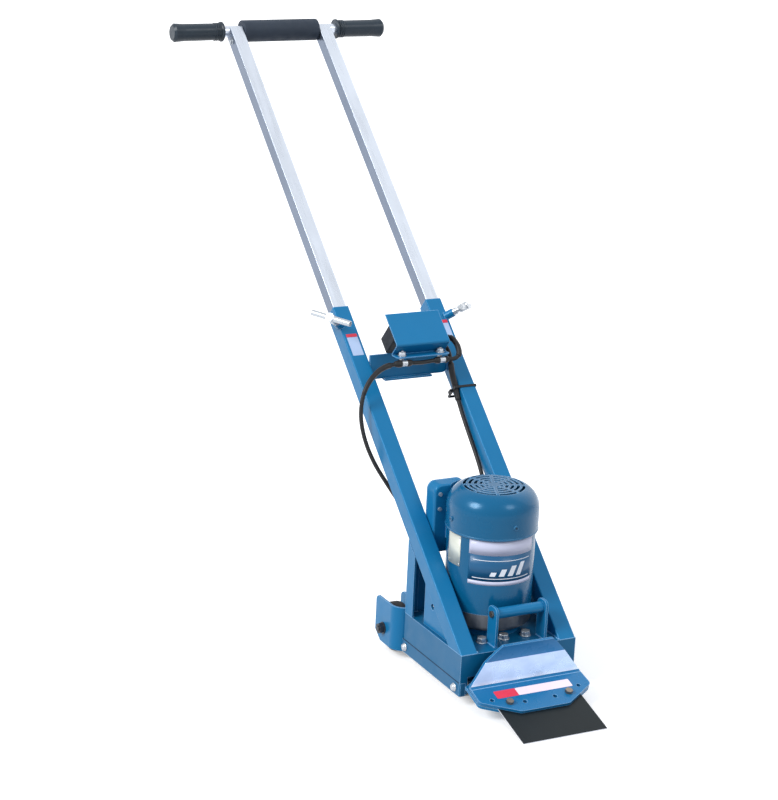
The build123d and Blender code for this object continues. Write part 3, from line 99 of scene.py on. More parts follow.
class Surface:
    """A Principled material with the few nodes that every finish here shares."""

    def __init__(self, name, color, rough, metal=0.0, coat=0.0):
        self.material = bpy.data.materials.new(name)
        self.material.use_nodes = True
        self.tree = self.material.node_tree
        self.shader = self.tree.nodes["Principled BSDF"]
        self.shader.inputs["Base Color"].default_value = color
        self.shader.inputs["Roughness"].default_value = rough
        self.shader.inputs["Metallic"].default_value = metal
        self.shader.inputs["Coat Weight"].default_value = coat
        self.shader.inputs["Coat Roughness"].default_value = 0.12
        self.color = color
        self.material.diffuse_color = color

    @classmethod
    def over(cls, material):
        """More nodes for a material that is already made."""
        surface = cls.__new__(cls)
        surface.material = material
        surface.tree = material.node_tree
        surface.shader = surface.tree.nodes["Principled BSDF"]
        return surface

    def node(self, kind, **values):
        made = self.tree.nodes.new(kind)
        for key, value in values.items():
            setattr(made, key, value)
        return made

    def link(self, a, b):
        self.tree.links.new(a, b)

    def coords(self, scale=(1, 1, 1)):
        texture = self.node("ShaderNodeTexCoord")
        mapping = self.node("ShaderNodeMapping")
        mapping.inputs["Scale"].default_value = scale
        self.link(texture.outputs["Object"], mapping.inputs["Vector"])
        return mapping.outputs["Vector"]

    def noise(self, scale, detail=3.0, stretch=(1, 1, 1), rough=0.5):
        noise = self.node("ShaderNodeTexNoise")
        noise.inputs["Scale"].default_value = scale
        noise.inputs["Detail"].default_value = detail
        noise.inputs["Roughness"].default_value = rough
        self.link(self.coords(stretch), noise.inputs["Vector"])
        return noise.outputs["Fac"]

    def ramp(self, factor, stops):
        ramp = self.node("ShaderNodeValToRGB")
        elements = ramp.color_ramp.elements
        while len(elements) < len(stops):
            elements.new(0.5)
        for element, (at, value) in zip(elements, stops):
            element.position = at
            element.color = value if len(value) == 4 else (*value, 1)
        self.link(factor, ramp.inputs["Fac"])
        return ramp.outputs["Color"]

    def mix(self, factor, first, second, kind="MIX"):
        mix = self.node("ShaderNodeMix", data_type="RGBA", blend_type=kind)
        for value, socket in ((factor, 0), (first, 6), (second, 7)):
            if hasattr(value, "links"):
                self.link(value, mix.inputs[socket])
            else:
                mix.inputs[socket].default_value = value
        return mix.outputs[2]

    def set(self, socket, value):
        self.link(value, self.shader.inputs[socket])

    def bump(self, height, strength, distance, edge=0.0):
        bump = self.node("ShaderNodeBump")
        bump.inputs["Strength"].default_value = strength
        bump.inputs["Distance"].default_value = distance
        self.link(height, bump.inputs["Height"])
        if edge:
            bevel = self.node("ShaderNodeBevel", samples=6)
            bevel.inputs["Radius"].default_value = edge
            self.link(bevel.outputs["Normal"], bump.inputs["Normal"])
        self.set("Normal", bump.outputs["Normal"])

    def edges(self, radius, low=0.02, high=0.12):
        """A mask that is white where the surface turns sharply."""
        bevel = self.node("ShaderNodeBevel", samples=6)
        bevel.inputs["Radius"].default_value = radius
        geometry = self.node("ShaderNodeNewGeometry")
        dot = self.node("ShaderNodeVectorMath", operation="DOT_PRODUCT")
        self.link(bevel.outputs["Normal"], dot.inputs[0])
        self.link(geometry.outputs["True Normal"], dot.inputs[1])
        flip = self.node("ShaderNodeMath", operation="SUBTRACT")
        flip.inputs[0].default_value = 1.0
        self.link(dot.outputs["Value"], flip.inputs[1])
        return self.ramp(flip.outputs[0], [(low, (0, 0, 0)), (high, (1, 1, 1))])


def scaled(color, factor):
    return (*[min(1.0, c * factor) for c in color[:3]], 1.0)


def paint(name, code, rough=0.33, coat=0.05):
    """Baked enamel: slight mottling, orange peel, and a painted highlight of lighter blue along its edges."""
    surface = Surface(name, srgb(code), rough, coat=coat)
    surface.shader.inputs["Specular IOR Level"].default_value = 0.4
    surface.shader.inputs["Specular Tint"].default_value = (0.4, 0.72, 1.0, 1.0)
    mottle = surface.noise(9, 4)
    body = surface.mix(mottle, scaled(surface.color, 0.93), scaled(surface.color, 1.07))
    # Painted highlight: a lighter blue is mixed in where the surface turns sharply, standing in for light caught by the
    # edges.
    edge = surface.edges(0.0016, 0.012, 0.08)
    surface.set("Base Color", surface.mix(edge, body, srgb("#86B4DC")))
    surface.set("Roughness", surface.ramp(surface.noise(35, 2), [(0.3, (rough - 0.05,) * 3), (0.7, (rough + 0.08,) * 3)]))
    surface.bump(surface.noise(650, 2), 0.12, 0.0003, edge=0.0009)
    return surface.material


def metal(name, code, rough, metal=1.0, grain=(1, 1, 1), scale=300, depth=0.1, spread=0.12):
    """Bare metal with fine grain, stretched where it is drawn or turned."""
    surface = Surface(name, srgb(code), rough, metal=metal)
    tint = surface.noise(14, 4)
    surface.set("Base Color", surface.mix(tint, scaled(surface.color, 0.86), scaled(surface.color, 1.08)))
    rough_map = surface.noise(scale * 0.4, 3, grain)
    surface.set("Roughness", surface.ramp(rough_map, [(0.3, (rough - spread / 2,) * 3), (0.7, (rough + spread,) * 3)]))
    surface.bump(surface.noise(scale, 3, grain), depth, 0.0003, edge=0.0004)
    return surface.material


def dull(name, code, rough, scale=500, depth=0.25, distance=0.0004, edge=0.0006):
    """Rubber and moulded plastic: a fine pebble and a little dust."""
    surface = Surface(name, srgb(code), rough)
    surface.shader.inputs["Specular IOR Level"].default_value = 0.25
    dust = surface.noise(22, 5)
    surface.set("Base Color", surface.mix(dust, scaled(surface.color, 0.8), scaled(surface.color, 1.35)))
    surface.set("Roughness", surface.ramp(surface.noise(60, 3), [(0.3, (rough - 0.08,) * 3), (0.7, (rough + 0.1,) * 3)]))
    surface.bump(surface.noise(scale, 3), depth, distance, edge=edge)
    return surface.material


def printed(name, code, rough=0.42):
    """A smooth printed film, a little uneven under its clear coat."""
    surface = Surface(name, srgb(code), rough, coat=0.15)
    surface.shader.inputs["Specular IOR Level"].default_value = 0.3
    tone = surface.noise(30, 3)
    surface.set("Base Color", surface.mix(tone, scaled(surface.color, 0.95), scaled(surface.color, 1.03)))
    surface.bump(surface.noise(220, 2), 0.05, 0.0002)
    return surface.material


def blade_metal():
    """Dark oiled spring steel with ground edges that shine."""
    surface = Surface("blade_steel", srgb("#151D21"), 0.4, metal=0.2)
    surface.shader.inputs["Specular IOR Level"].default_value = 0.2
    tint = surface.noise(40, 5, (1, 0.25, 1))
    dark = surface.mix(tint, scaled(surface.color, 0.8), scaled(surface.color, 1.25))
    texture = surface.node("ShaderNodeTexCoord")
    facing = surface.node("ShaderNodeVectorMath", operation="DOT_PRODUCT")
    facing.inputs[1].default_value = (0, -math.sin(BLADE_ANGLE), math.cos(BLADE_ANGLE))
    surface.link(texture.outputs["Normal"], facing.inputs[0])
    size = surface.node("ShaderNodeMath", operation="ABSOLUTE")
    surface.link(facing.outputs["Value"], size.inputs[0])
    rim = surface.ramp(size.outputs[0], [(0.93, (1, 1, 1)), (0.97, (0, 0, 0))])
    split = surface.node("ShaderNodeSeparateXYZ")
    surface.link(texture.outputs["Object"], split.inputs[0])
    front = surface.node("ShaderNodeMath", operation="LESS_THAN")
    front.inputs[1].default_value = BASE_FRONT + (EDGE_Y + BLADE_SHINE) * MM
    surface.link(split.outputs["Y"], front.inputs[0])
    shine = surface.mix(front.outputs[0], rim, (1, 1, 1, 1))
    surface.set("Base Color", surface.mix(shine, dark, srgb("#D5D7DE")))
    surface.bump(surface.noise(400, 3, (1, 0.15, 1)), 0.12, 0.0002)
    return surface.material


def flap_paint():
    """The enamel of the clamp plate, with a painted pale reflection on its flap's face and painted light on the front
    panel above the flap.
    """
    material = paint("flap_paint", "#106699", rough=0.28, coat=0.1)
    tree = material.node_tree
    surface = Surface.over(material)
    texture = surface.node("ShaderNodeTexCoord")
    # Painted reflection: the flap's face, by its facing and height, gets a pale cloudy tone and some metallic that
    # stand in for the reflection on it, palest at the lower fold.
    facing = surface.node("ShaderNodeVectorMath", operation="DOT_PRODUCT")
    facing.inputs[1].default_value = FLAP_NORMAL
    surface.link(texture.outputs["Normal"], facing.inputs[0])
    face = surface.ramp(facing.outputs["Value"], [(0.955, (0, 0, 0)), (0.985, (1, 1, 1))])
    split = surface.node("ShaderNodeSeparateXYZ")
    surface.link(texture.outputs["Object"], split.inputs[0])
    height = surface.node("ShaderNodeMapRange")
    height.inputs["From Min"].default_value = FLAP_LOW * MM
    height.inputs["From Max"].default_value = FLAP_HIGH * MM
    surface.link(split.outputs["Z"], height.inputs["Value"])
    tone = surface.ramp(height.outputs["Result"], [(0.0, srgb("#DCE6F8")), (0.22, srgb("#B3C8EA")), (1.0, srgb("#B8CBEC"))])
    cloud = surface.ramp(surface.noise(26, 4, (1, 1, 2)), [(0.25, (0.88, 0.88, 0.88)), (0.6, (1, 1, 1))])
    painted_sheen = surface.mix(1.0, cloud, face, "MULTIPLY")
    body = surface.shader.inputs["Base Color"].links[0].from_socket
    # Painted light: the front-facing panel above the flap gets a lighter blue, lightest at its lower edge.
    forward = surface.node("ShaderNodeVectorMath", operation="DOT_PRODUCT")
    forward.inputs[1].default_value = (0, -1, 0)
    surface.link(texture.outputs["Normal"], forward.inputs[0])
    front = surface.ramp(forward.outputs["Value"], [(0.3, (0, 0, 0)), (0.5, (1, 1, 1))])
    above = surface.node("ShaderNodeMapRange")
    above.inputs["From Min"].default_value = (FLAP_HIGH - 1) * MM
    above.inputs["From Max"].default_value = FLAP_TOP * MM
    surface.link(split.outputs["Z"], above.inputs["Value"])
    painted_light_above = surface.ramp(above.outputs["Result"], [(0.02, srgb("#4F96CF")), (1.0, srgb("#2372AC"))])
    over = surface.ramp(above.outputs["Result"], [(0.0, (0, 0, 0)), (0.03, (1, 1, 1))])
    body = surface.mix(surface.mix(1.0, over, front, "MULTIPLY"), body, painted_light_above)
    surface.set("Base Color", surface.mix(painted_sheen, body, tone))
    surface.set("Metallic", surface.ramp(painted_sheen, [(0.0, (0, 0, 0)), (1.0, (0.75, 0.75, 0.75))]))
    return material


def tube_metal():
    """Drawn bright tube, with painted shade on its two sides: their colour is multiplied darker, while the broad top
    and bottom faces keep the bright colour.
    """
    material = metal("silver_tube", "#D3DBE7", 0.28, metal=0.85, grain=(1, 0.08, 0.08), scale=260, depth=0.03)
    surface = Surface.over(material)
    texture = surface.node("ShaderNodeTexCoord")
    split = surface.node("ShaderNodeSeparateXYZ")
    surface.link(texture.outputs["Normal"], split.inputs[0])
    size = surface.node("ShaderNodeMath", operation="ABSOLUTE")
    surface.link(split.outputs["X"], size.inputs[0])
    # Painted shade: faces turned to the sides, along X, get a darker colour standing in for the shade they lie in.
    side = surface.ramp(size.outputs[0], [(0.45, (0, 0, 0)), (0.95, (1, 1, 1))])
    body = surface.shader.inputs["Base Color"].links[0].from_socket
    painted_shade_sides = surface.mix(1.0, body, srgb("#8A929E"), "MULTIPLY")
    surface.set("Base Color", surface.mix(side, body, painted_shade_sides))
    return material


FLAP_NORMAL = (0, -0.995, 0.0995)
FLAP_LOW = 50.0
FLAP_HIGH = 95.0
FLAP_TOP = 127.5
BLADE_SHINE = 1.6
BLUE = paint("blue_paint", "#106B9C")
# Painted shade: the base housing and its rails get a darker copy of the frame's blue, standing in for the shade they
# lie in near the floor.
SHADED_BASE_BLUE = paint("base_paint_shaded", "#0A5A84", rough=0.36)
DEEP_BLUE = paint("motor_paint", "#07567F", rough=0.22, coat=0.1)
SILVER = tube_metal()
ZINC = metal("zinc", "#BAC0C6", 0.24, metal=0.6, scale=180, depth=0.1)
STEEL = metal("bare_steel", "#8C8C8A", 0.34, scale=220)
CAST = metal("cast_end", "#6C7076", 0.42, metal=0.8, grain=(1, 1, 0.06), scale=240, depth=0.35, spread=0.2)
IRON = metal("stator_iron", "#5A534C", 0.55, metal=0.6)
BLADE = blade_metal()
# Painted shadow: a dark colour for thin strips that stand in for the shadow line above each side rail.
PAINTED_SHADOW_STRIP = dull("painted_rail_shadow", "#0A2E47", 0.6)
PALE_PRINT = printed("pale_print", "#E6ECF6")
FLAP = flap_paint()
HARDWARE = metal("dark_hardware", "#8C8177", 0.3, metal=0.85, scale=180, depth=0.15)
BLACK_OXIDE = metal("black_oxide", "#3B4046", 0.38, metal=0.7, scale=180, depth=0.15)
GRIP = dull("grip_rubber", "#26313B", 0.32, scale=420, depth=0.1)
FOAM = dull("foam_rubber", "#2B3440", 0.6, scale=900, depth=0.45, distance=0.0005)
TYRE = dull("tyre_rubber", "#1C1D20", 0.6, scale=300, depth=0.3)
PLASTIC = dull("black_plastic", "#1D2024", 0.45, scale=600, depth=0.2)
JACKET = dull("cord_rubber", "#1F2022", 0.42, scale=500, depth=0.15)
FAN = dull("fan_plastic", "#202225", 0.5)
PALE_FILM = printed("pale_film", "#E9D9E2")
RED_FILM = printed("red_film", "#D9344C")
SILVER_FILM = printed("silver_film", "#C5C9E0")
DARK_FILM = printed("dark_film", "#14557F")
PLATE_FILM = metal("data_plate", "#D5D9CF", 0.4, metal=0.35, scale=200)
GREY_FILM = printed("grey_film", "#A9BFE0")

FINISHES = {
    SHADED_BASE_BLUE: "base_housing side_rails",
    BLUE: "left_frame_tube right_frame_tube rear_posts gusset_plates cross_plate"
    " switch_hood carriage_plate wheel_brackets grab_brackets grab_bar terminal_box"
    " terminal_cover motor_flange",
    DEEP_BLUE: "motor_shell motor_fan_cover motor_cover_screws",
    SILVER: "inner_tubes handlebar",
    ZINC: "rail_bolts top_bolts left_tee_bolt right_tee_bolt motor_mount_bolts terminal_screws"
    " cord_clips clip_bolts",
    STEEL: "bottom_pan guide_strips motor_through_bolts motor_bearings rotor_shaft eccentric drive_bearing",
    CAST: "motor_end_bell motor_top_bell left_wheel_hub right_wheel_hub",
    IRON: "motor_stator rotor_core",
    BLADE: "scraper_blade",
    FLAP: "deflector_plate clamp_plate",
    HARDWARE: "clamp_bolts grab_screws",
    BLACK_OXIDE: "wheel_axles",
    GRIP: "handle_grips",
    FOAM: "foam_sleeve",
    TYRE: "left_wheel_tyre right_wheel_tyre",
    PLASTIC: "switch_box switch_rocker cord_glands cable_tie supply_plug",
    FAN: "cooling_fan",
}
for material, names in FINISHES.items():
    for name in names.split():
        for slot in nodes[name].material_slots:
            slot.material = material


# Mesh helpers
def piece(name, vertices, faces, material, body, smooth=True):
    mesh = bpy.data.meshes.new(name)
    mesh.from_pydata([tuple(v) for v in vertices], [], faces)
    mesh.materials.append(material)
    mesh.update()
    shape = bmesh.new()
    shape.from_mesh(mesh)
    bmesh.ops.recalc_face_normals(shape, faces=shape.faces)
    shape.to_mesh(mesh)
    shape.free()
    for polygon in mesh.polygons:
        polygon.use_smooth = smooth
    made = bpy.data.objects.new(name, mesh)
    bpy.context.collection.objects.link(made)
    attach(made, body)
    return made


def loft(name, rings, material, body, smooth=True, closed=True):
    """Joins rings of as many points each, with a cap on both ends when closed."""
    count = len(rings[0])
    vertices = [v for r in rings for v in r]
    faces = []
    for i in range(len(rings) - 1):
        for j in range(count):
            k = (j + 1) % count
            faces.append((i * count + j, i * count + k, (i + 1) * count + k, (i + 1) * count + j))
    if closed:
        faces.append(tuple(range(count))[::-1])
        faces.append(tuple(range((len(rings) - 1) * count, len(rings) * count)))
    return piece(name, vertices, faces, material, body, smooth)


def axes_of(direction):
    direction = Vector(direction).normalized()
    side = direction.cross((0, 0, 1) if abs(direction.z) < 0.9 else (1, 0, 0)).normalized()
    return direction, side, direction.cross(side)


def turned(name, start, direction, profile, material, body, sides=40):
    """A form turned about an axis; the profile is (distance, radius) in millimetres."""
    way, a, b = axes_of(direction)
    rings = []
    for distance, radius in profile:
        ring = []
        for i in range(sides):
            angle = 2 * math.pi * i / sides
            arm = a * math.cos(angle) + b * math.sin(angle)
            ring.append(start + way * distance * MM + arm * max(radius, 0.05) * MM)
        rings.append(ring)
    return loft(name, rings, material, body)


def sheet_panel(name, corner, across, up, width, height, radius, thickness, material, body, drop=0.0):
    """A thin plate with round corners on a flat face, from its lower left corner."""
    across = Vector(across).normalized()
    up = Vector(up).normalized()
    out = across.cross(up)
    points = []
    for cx, cy, first in (
        (width - radius, radius, -90),
        (width - radius, height - radius, 0),
        (radius, height - radius, 90),
        (radius, radius, 180),
    ):
        for step in range(6):
            angle = math.radians(first + 18 * step)
            points.append((cx + radius * math.cos(angle), cy + radius * math.sin(angle)))
    rings = []
    for lift, inset in ((-drop, 0.0), (thickness * 0.7, 0.0), (thickness, 0.15)):
        ring = []
        for x, y in points:
            x = min(max(x, inset), width - inset)
            y = min(max(y, inset), height - inset)
            ring.append(corner + (across * x + up * y + out * lift) * MM)
        rings.append(ring)
    return loft(name, rings, material, body, smooth=False)


def wrapped_panel(name, centre, radius, angles, heights, thickness, material, body):
    """A thin panel round the motor; angles run from the front, positive to the right."""
    steps = max(6, int(abs(angles[1] - angles[0]) / 3))
    rings = []
    for step in range(steps + 1):
        angle = math.radians(angles[0] + (angles[1] - angles[0]) * step / steps)
        ring = []
        for reach, height in (
            (radius, heights[0]),
            (radius + thickness, heights[0]),
            (radius + thickness, heights[1]),
            (radius, heights[1]),
        ):
            ring.append(
                spot(
                    centre[0] + reach * math.sin(angle),
                    centre[1] - reach * math.cos(angle),
                    height,
                )
            )
        rings.append(ring)
    made = loft(name, rings, material, body, smooth=False)
    for polygon in made.data.polygons:
        polygon.use_smooth = abs(polygon.normal.z) < 0.5 and len(polygon.vertices) == 4
    return made


def slanted_bar(name, centre, radius, start, width, heights, lean, thickness, material, body):
    """A narrow printed bar on the motor's round wall whose top leans to the right, in degrees."""
    rings = []
    steps = 8
    for step in range(steps + 1):
        share = step / steps
        height = heights[0] + (heights[1] - heights[0]) * share
        ring = []
        for reach, turn in ((radius, 0), (radius, width), (radius + thickness, width), (radius + thickness, 0)):
            angle = math.radians(start + lean * share + turn)
            ring.append(spot(centre[0] + reach * math.sin(angle), centre[1] - reach * math.cos(angle), height))
        rings.append(ring)
    return loft(name, rings, material, body, smooth=False)


def weld(name, points, radius, body, material=None):
    """A weld bead: a low tube along the seam with the ripple of laid metal."""
    vertices = []
    for a, b in zip(points, points[1:]):
        steps = max(2, int((b - a).length / (radius * MM * 0.55)))
        vertices += [a.lerp(b, i / steps) for i in range(steps)]
    vertices.append(points[-1])
    rings = []
    for i, middle in enumerate(vertices):
        before = vertices[max(0, i - 1)]
        after = vertices[min(len(vertices) - 1, i + 1)]
        way, a, b = axes_of(after - before)
        swell = radius * (1 + 0.1 * math.sin(i * 1.9) + 0.05 * math.sin(i * 0.7 + 1))
        if i in (0, len(vertices) - 1):
            swell *= 0.5
        ring = []
        for j in range(8):
            angle = 2 * math.pi * j / 8
            ring.append(middle + (a * math.cos(angle) + b * math.sin(angle)) * swell * MM)
        rings.append(ring)
    return loft(name, rings, material or BLUE, body)


def cord_curve(name, points, radius, body):
    """A cord on one smooth line that its route's points steer."""
    data = bpy.data.curves.new(name, "CURVE")
    data.dimensions = "3D"
    spline = data.splines.new("NURBS")
    spline.points.add(len(points) - 1)
    for point, place in zip(spline.points, points):
        point.co = (*place, 1.0)
    spline.order_u = 3
    spline.use_endpoint_u = True
    spline.resolution_u = 12
    data.bevel_depth = radius * MM
    data.bevel_resolution = 6
    data.use_fill_caps = True
    data.materials.append(JACKET)
    made = bpy.data.objects.new(name, data)
    bpy.context.collection.objects.link(made)
    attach(made, body)
    return made


# Cords: the routes repeat the construction's own points
CLIP = (433.5, 547.0)
CLIP_BOLT = (444.0, 560.0)
GLAND_LENGTH = 12.0
BOX_RIGHT = 45.0
PLUG_RADIUS = 13.0


def box_exit(along, lift, x):
    place = in_frame(x, along, lift)
    return (x, (place.y - BASE_FRONT) / MM, place.z / MM)


SUPPLY_EXIT = box_exit(672, 50, BOX_RIGHT)
LEAD_EXIT = box_exit(672, 31, BOX_RIGHT)
SUPPLY_HELD = [
    (BOX_RIGHT + GLAND_LENGTH, SUPPLY_EXIT[1], SUPPLY_EXIT[2]),
    (68, SUPPLY_EXIT[1], SUPPLY_EXIT[2]),
    (77, 465, 583),
    (81, 451, 577),
    (81, 436, 568),
    (79, 427, 556),
    (70, 428, 548),
    (56, *CLIP),
    (29, *CLIP),
    (14, 434.5, 546),
    (0, 434, 545),
    (-14, 432.5, 546),
    (-29, *CLIP),
    (-52, *CLIP),
]
SUPPLY_FREE = [
    (-52, *CLIP),
    (-76, *CLIP),
    (-103, 428, 539),
    (-128, 420, 520),
    (-144, 415, 489),
    (-149, 408, 449),
    (-144, 393, 405),
    (-131, 372, 363),
    (-110, 352, 324),
    (-84, 338, 281),
    (-66, 330, 234),
    (-60, 325, 188),
    (-60, 320, 142),
    (-61, 314, 98),
    (-60, 307, 59),
    (-52, 299, 29),
    (-34, 293, PLUG_RADIUS),
    (-10, 293, PLUG_RADIUS),
]
MOTOR_LEAD = [
    (BOX_RIGHT + GLAND_LENGTH, LEAD_EXIT[1], LEAD_EXIT[2]),
    (66, LEAD_EXIT[1], LEAD_EXIT[2]),
    (74, 476, 562),
    (77, 464, 548),
    (76, 455, 529),
    (78, 450, 506),
    (83.5, 445, 483),
    (84, 432, 460),
    (83, 411, 437),
    (84, 386, 408),
    (84, 358, 380),
    (83, 330, 353),
    (78, 302, 329),
    (66, 268, 308),
    (45, 236, 294),
    (22, 222, 290),
    (2, 222, 290),
]


def add_cords():
    held = cord_curve("supply_cord_in_clips", [spot(*p) for p in SUPPLY_HELD], CORD_RADIUS, "frame")
    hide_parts("supply_cord_held")
    free = cord_curve("supply_cord", [spot(*p) for p in SUPPLY_FREE], CORD_RADIUS, "frame")
    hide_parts("supply_cord_free")
    relief = sleeve_over("supply_strain_relief", free, 0.03, 0.17, 6.0, "frame", JACKET, taper=1.0)
    lead = cord_curve("motor_lead_cord", [spot(*p) for p in MOTOR_LEAD], CORD_RADIUS, "frame")
    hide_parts("motor_lead")
    sleeve_over("lead_sleeve", lead, 0.13, 0.31, 6.2, "frame", JACKET)
    sleeve_over("supply_loop_sleeve", held, 0.1, 0.36, 5.8, "frame", JACKET)


def add_labels():
    """Plain panels where the machine carries its labels; nothing is printed on them."""
    centre = (0, MOTOR_Y)
    low, band, top = 221.0, 273.0, 302.0
    left, right = -58.5, 35.0
    parts = (
        ("motor_panel_top", SILVER_FILM, (band, top)),
        ("motor_panel_field", DARK_FILM, (low, band)),
        ("motor_panel_foot", SILVER_FILM, (213.0, low)),
    )
    for name, film, heights in parts:
        made = wrapped_panel(name, centre, MOTOR_RADIUS, (left, right), heights, STICKER, film, "frame")
    for step, (low_end, high_end) in enumerate(((232, 240), (232, 246), (232, 252), (232, 257))):
        bar = slanted_bar(
            f"motor_panel_bar_{step}", centre, MOTOR_RADIUS, -30 + 12 * step, 7.0, (low_end, high_end),
            (high_end - low_end) * 0.28, 2 * STICKER, PALE_PRINT, "frame",
        )
    for tag, height in (("low", 226.0), ("high", 262.0)):
        line = wrapped_panel(
            f"motor_panel_line_{tag}", centre, MOTOR_RADIUS, (left + 6, right - 6), (height, height + 1.4),
            STICKER + 0.15, PALE_PRINT, "frame",
        )
    plate = wrapped_panel(
        "motor_data_plate", centre, MOTOR_RADIUS, (-99, -72), (240, 301), 0.5, PLATE_FILM, "frame"
    )
    for angle, height in ((-97, 244), (-74, 244), (-97, 297), (-74, 297)):
        turn = math.radians(angle)
        way = Vector((math.sin(turn), -math.cos(turn), 0))
        seat = spot(0, MOTOR_Y, height) + way * (MOTOR_RADIUS + 0.4) * MM
        rivet = turned(
            f"data_plate_rivet_{abs(angle)}_{height}", seat, way,
            [(0, 1.7), (0.5, 1.6), (0.9, 1.0), (1.0, 0)], ZINC, "frame", 16,
        )
    across = Vector((1, 0, 0))
    back = Vector((0, math.cos(BLADE_ANGLE), math.sin(BLADE_ANGLE)))
    for name, film, start, end in (
        ("clamp_strip_red", RED_FILM, -81, -35),
        ("clamp_strip_pale", PALE_FILM, -35, 82),
    ):
        corner = in_blade(start, 121.5, CLAMP_LIFT + BLADE_LAND)
        strip = sheet_panel(
            name, corner, across, back, end - start, 20.5, 2.0, STICKER, film, "blade_carriage"
        )
    up = Vector((0, math.cos(FRAME_ANGLE), math.sin(FRAME_ANGLE)))
    for side, start, along in (("left", -119, 676), ("right", 95, 690)):
        for part, film, low, high in (("pale", GREY_FILM, 0, 44), ("red", RED_FILM, 44.5, 52)):
            corner = in_frame(start, along + low, 0)
            made = sheet_panel(
                f"{side}_sleeve_label_{part}", corner, across, up, 24, high - low, 1.2, STICKER, film, "frame"
            )


BLADE_LAND = 0.3


def add_welds():
    s = SLEEVE_SIDE
    foot = s / math.sin(FRAME_ANGLE)
    top = BASE_TOP + 0.6
    seams = []
    for side in (-1, 1):
        tag = "left" if side < 0 else "right"
        inner = side * SLEEVE_INNER
        outer = side * (BASE_HALF - 1)
        seams.append((f"{tag}_sleeve_foot_weld", [spot(inner, 2, top), spot(inner, foot, top), spot(outer, foot, top)], 1.9))
        post = side * (BASE_HALF - 4)
        seams.append((f"{tag}_post_foot_weld", [spot(post, 199, top), spot(post, 223, top), spot(side * (BASE_HALF - 26), 223, top)], 1.6))
        plate = side * (BASE_HALF - 13)
        seams.append((f"{tag}_gusset_foot_weld", [spot(plate, 58, top), spot(plate, 165, top)], 1.5))
        bow = side * 109.5
        seams.append((f"{tag}_bracket_weld", [spot(bow - 7.5, BASE_DEPTH + 0.6, 24), spot(bow - 7.5, BASE_DEPTH + 0.6, 102)], 1.8))
        seams.append((f"{tag}_bracket_weld_outer", [spot(bow + 7.5, BASE_DEPTH + 0.6, 24), spot(bow + 7.5, BASE_DEPTH + 0.6, 102)], 1.8))
        seams.append((f"{tag}_cross_plate_weld", [spot(inner, 493.5, 503), spot(inner, 493.5, 534)], 1.6))
    for x in (-42, 61):
        for shift, tag in ((-5.2, "a"), (0.2, "b")):
            place = x + (shift if x < 0 else shift + 5)
            seams.append((f"grab_foot_weld_{abs(x)}_{tag}", [spot(place, 12, top), spot(place, 42, top)], 1.4))
    for name, points, radius in seams:
        made = weld(name, points, radius, "frame")


def spline_points(curve):
    """Points along a cord's own smooth line."""
    twin = curve.data.copy()
    twin.bevel_depth = 0
    probe = bpy.data.objects.new("probe", twin)
    mesh = bpy.data.meshes.new_from_object(probe)
    points = [v.co.copy() for v in mesh.vertices]
    bpy.data.meshes.remove(mesh)
    bpy.data.objects.remove(probe)
    return points


def sleeve_over(name, curve, start, end, radius, body, material, taper=0.0):
    """A thicker sleeve over a cord, between two shares of its length; taper thins its far end."""
    line = spline_points(curve)
    lengths = [0.0]
    for a, b in zip(line, line[1:]):
        lengths.append(lengths[-1] + (b - a).length)
    total = lengths[-1]
    kept = [p for p, d in zip(line, lengths) if start * total <= d <= end * total]
    rings = []
    side = None
    for i, middle in enumerate(kept):
        way = (kept[min(i + 1, len(kept) - 1)] - kept[max(i - 1, 0)]).normalized()
        if side is None:
            side = way.cross((1, 0, 0)).normalized()
        side = (side - way * side.dot(way)).normalized()
        over = way.cross(side)
        edge = min(i, len(kept) - 1 - i)
        share = i / (len(kept) - 1)
        thick = radius - taper * (radius - CORD_RADIUS - 0.4) * share
        reach = thick if edge > 0 else CORD_RADIUS + 0.2
        ring = []
        for j in range(20):
            angle = 2 * math.pi * j / 20
            ring.append(middle + (side * math.cos(angle) + over * math.sin(angle)) * reach * MM)
        rings.append(ring)
    made = loft(name, rings, material, body)
    return made


def hex_nut(name, base, axis, across, height, bore, material, body):
    """A chamfered hexagon nut with its washer, from the washer's seat."""
    way, a, b = axes_of(axis)
    corner = across / 2 / math.cos(math.pi / 6)

    def ring(distance, radius):
        points = []
        for i in range(24):
            angle = 2 * math.pi * i / 24
            folded = (angle + math.pi / 6) % (math.pi / 3) - math.pi / 6
            reach = min(across / 2 / math.cos(folded), radius)
            points.append(base + (way * distance + (a * math.cos(angle) + b * math.sin(angle)) * reach) * MM)
        return points

    washer = turned(
        f"{name}_washer", base, way,
        [(0, bore), (0, across * 0.68 - 0.3), (0.3, across * 0.68), (1.2, across * 0.68), (1.5, across * 0.68 - 0.3),
         (1.5, bore)],
        material, body,
    )
    profile = [(1.5, across / 2 * 0.98), (2.2, corner), (1.5 + height - 0.9, corner), (1.5 + height, across / 2 * 0.96)]
    nut = loft(name, [ring(*p) for p in profile], material, body, smooth=False)
    return nut


def add_clip_hardware():
    """Broad nuts, washers and bolt ends where the clips hang from the hood's lip."""
    y, lip = CLIP_BOLT
    for x in (-43, 43):
        tag = "left" if x < 0 else "right"
        hex_nut(f"{tag}_clip_nut", spot(x, y, lip), (0, 0, 1), 13, 6.5, 3, ZINC, "frame")
        stud = turned(
            f"{tag}_clip_stud", spot(x, y, lip + 7), (0, 0, 1),
            [(0, 3), (2.6, 3), (3.4, 2.4), (3.5, 0)], ZINC, "frame", 20,
        )


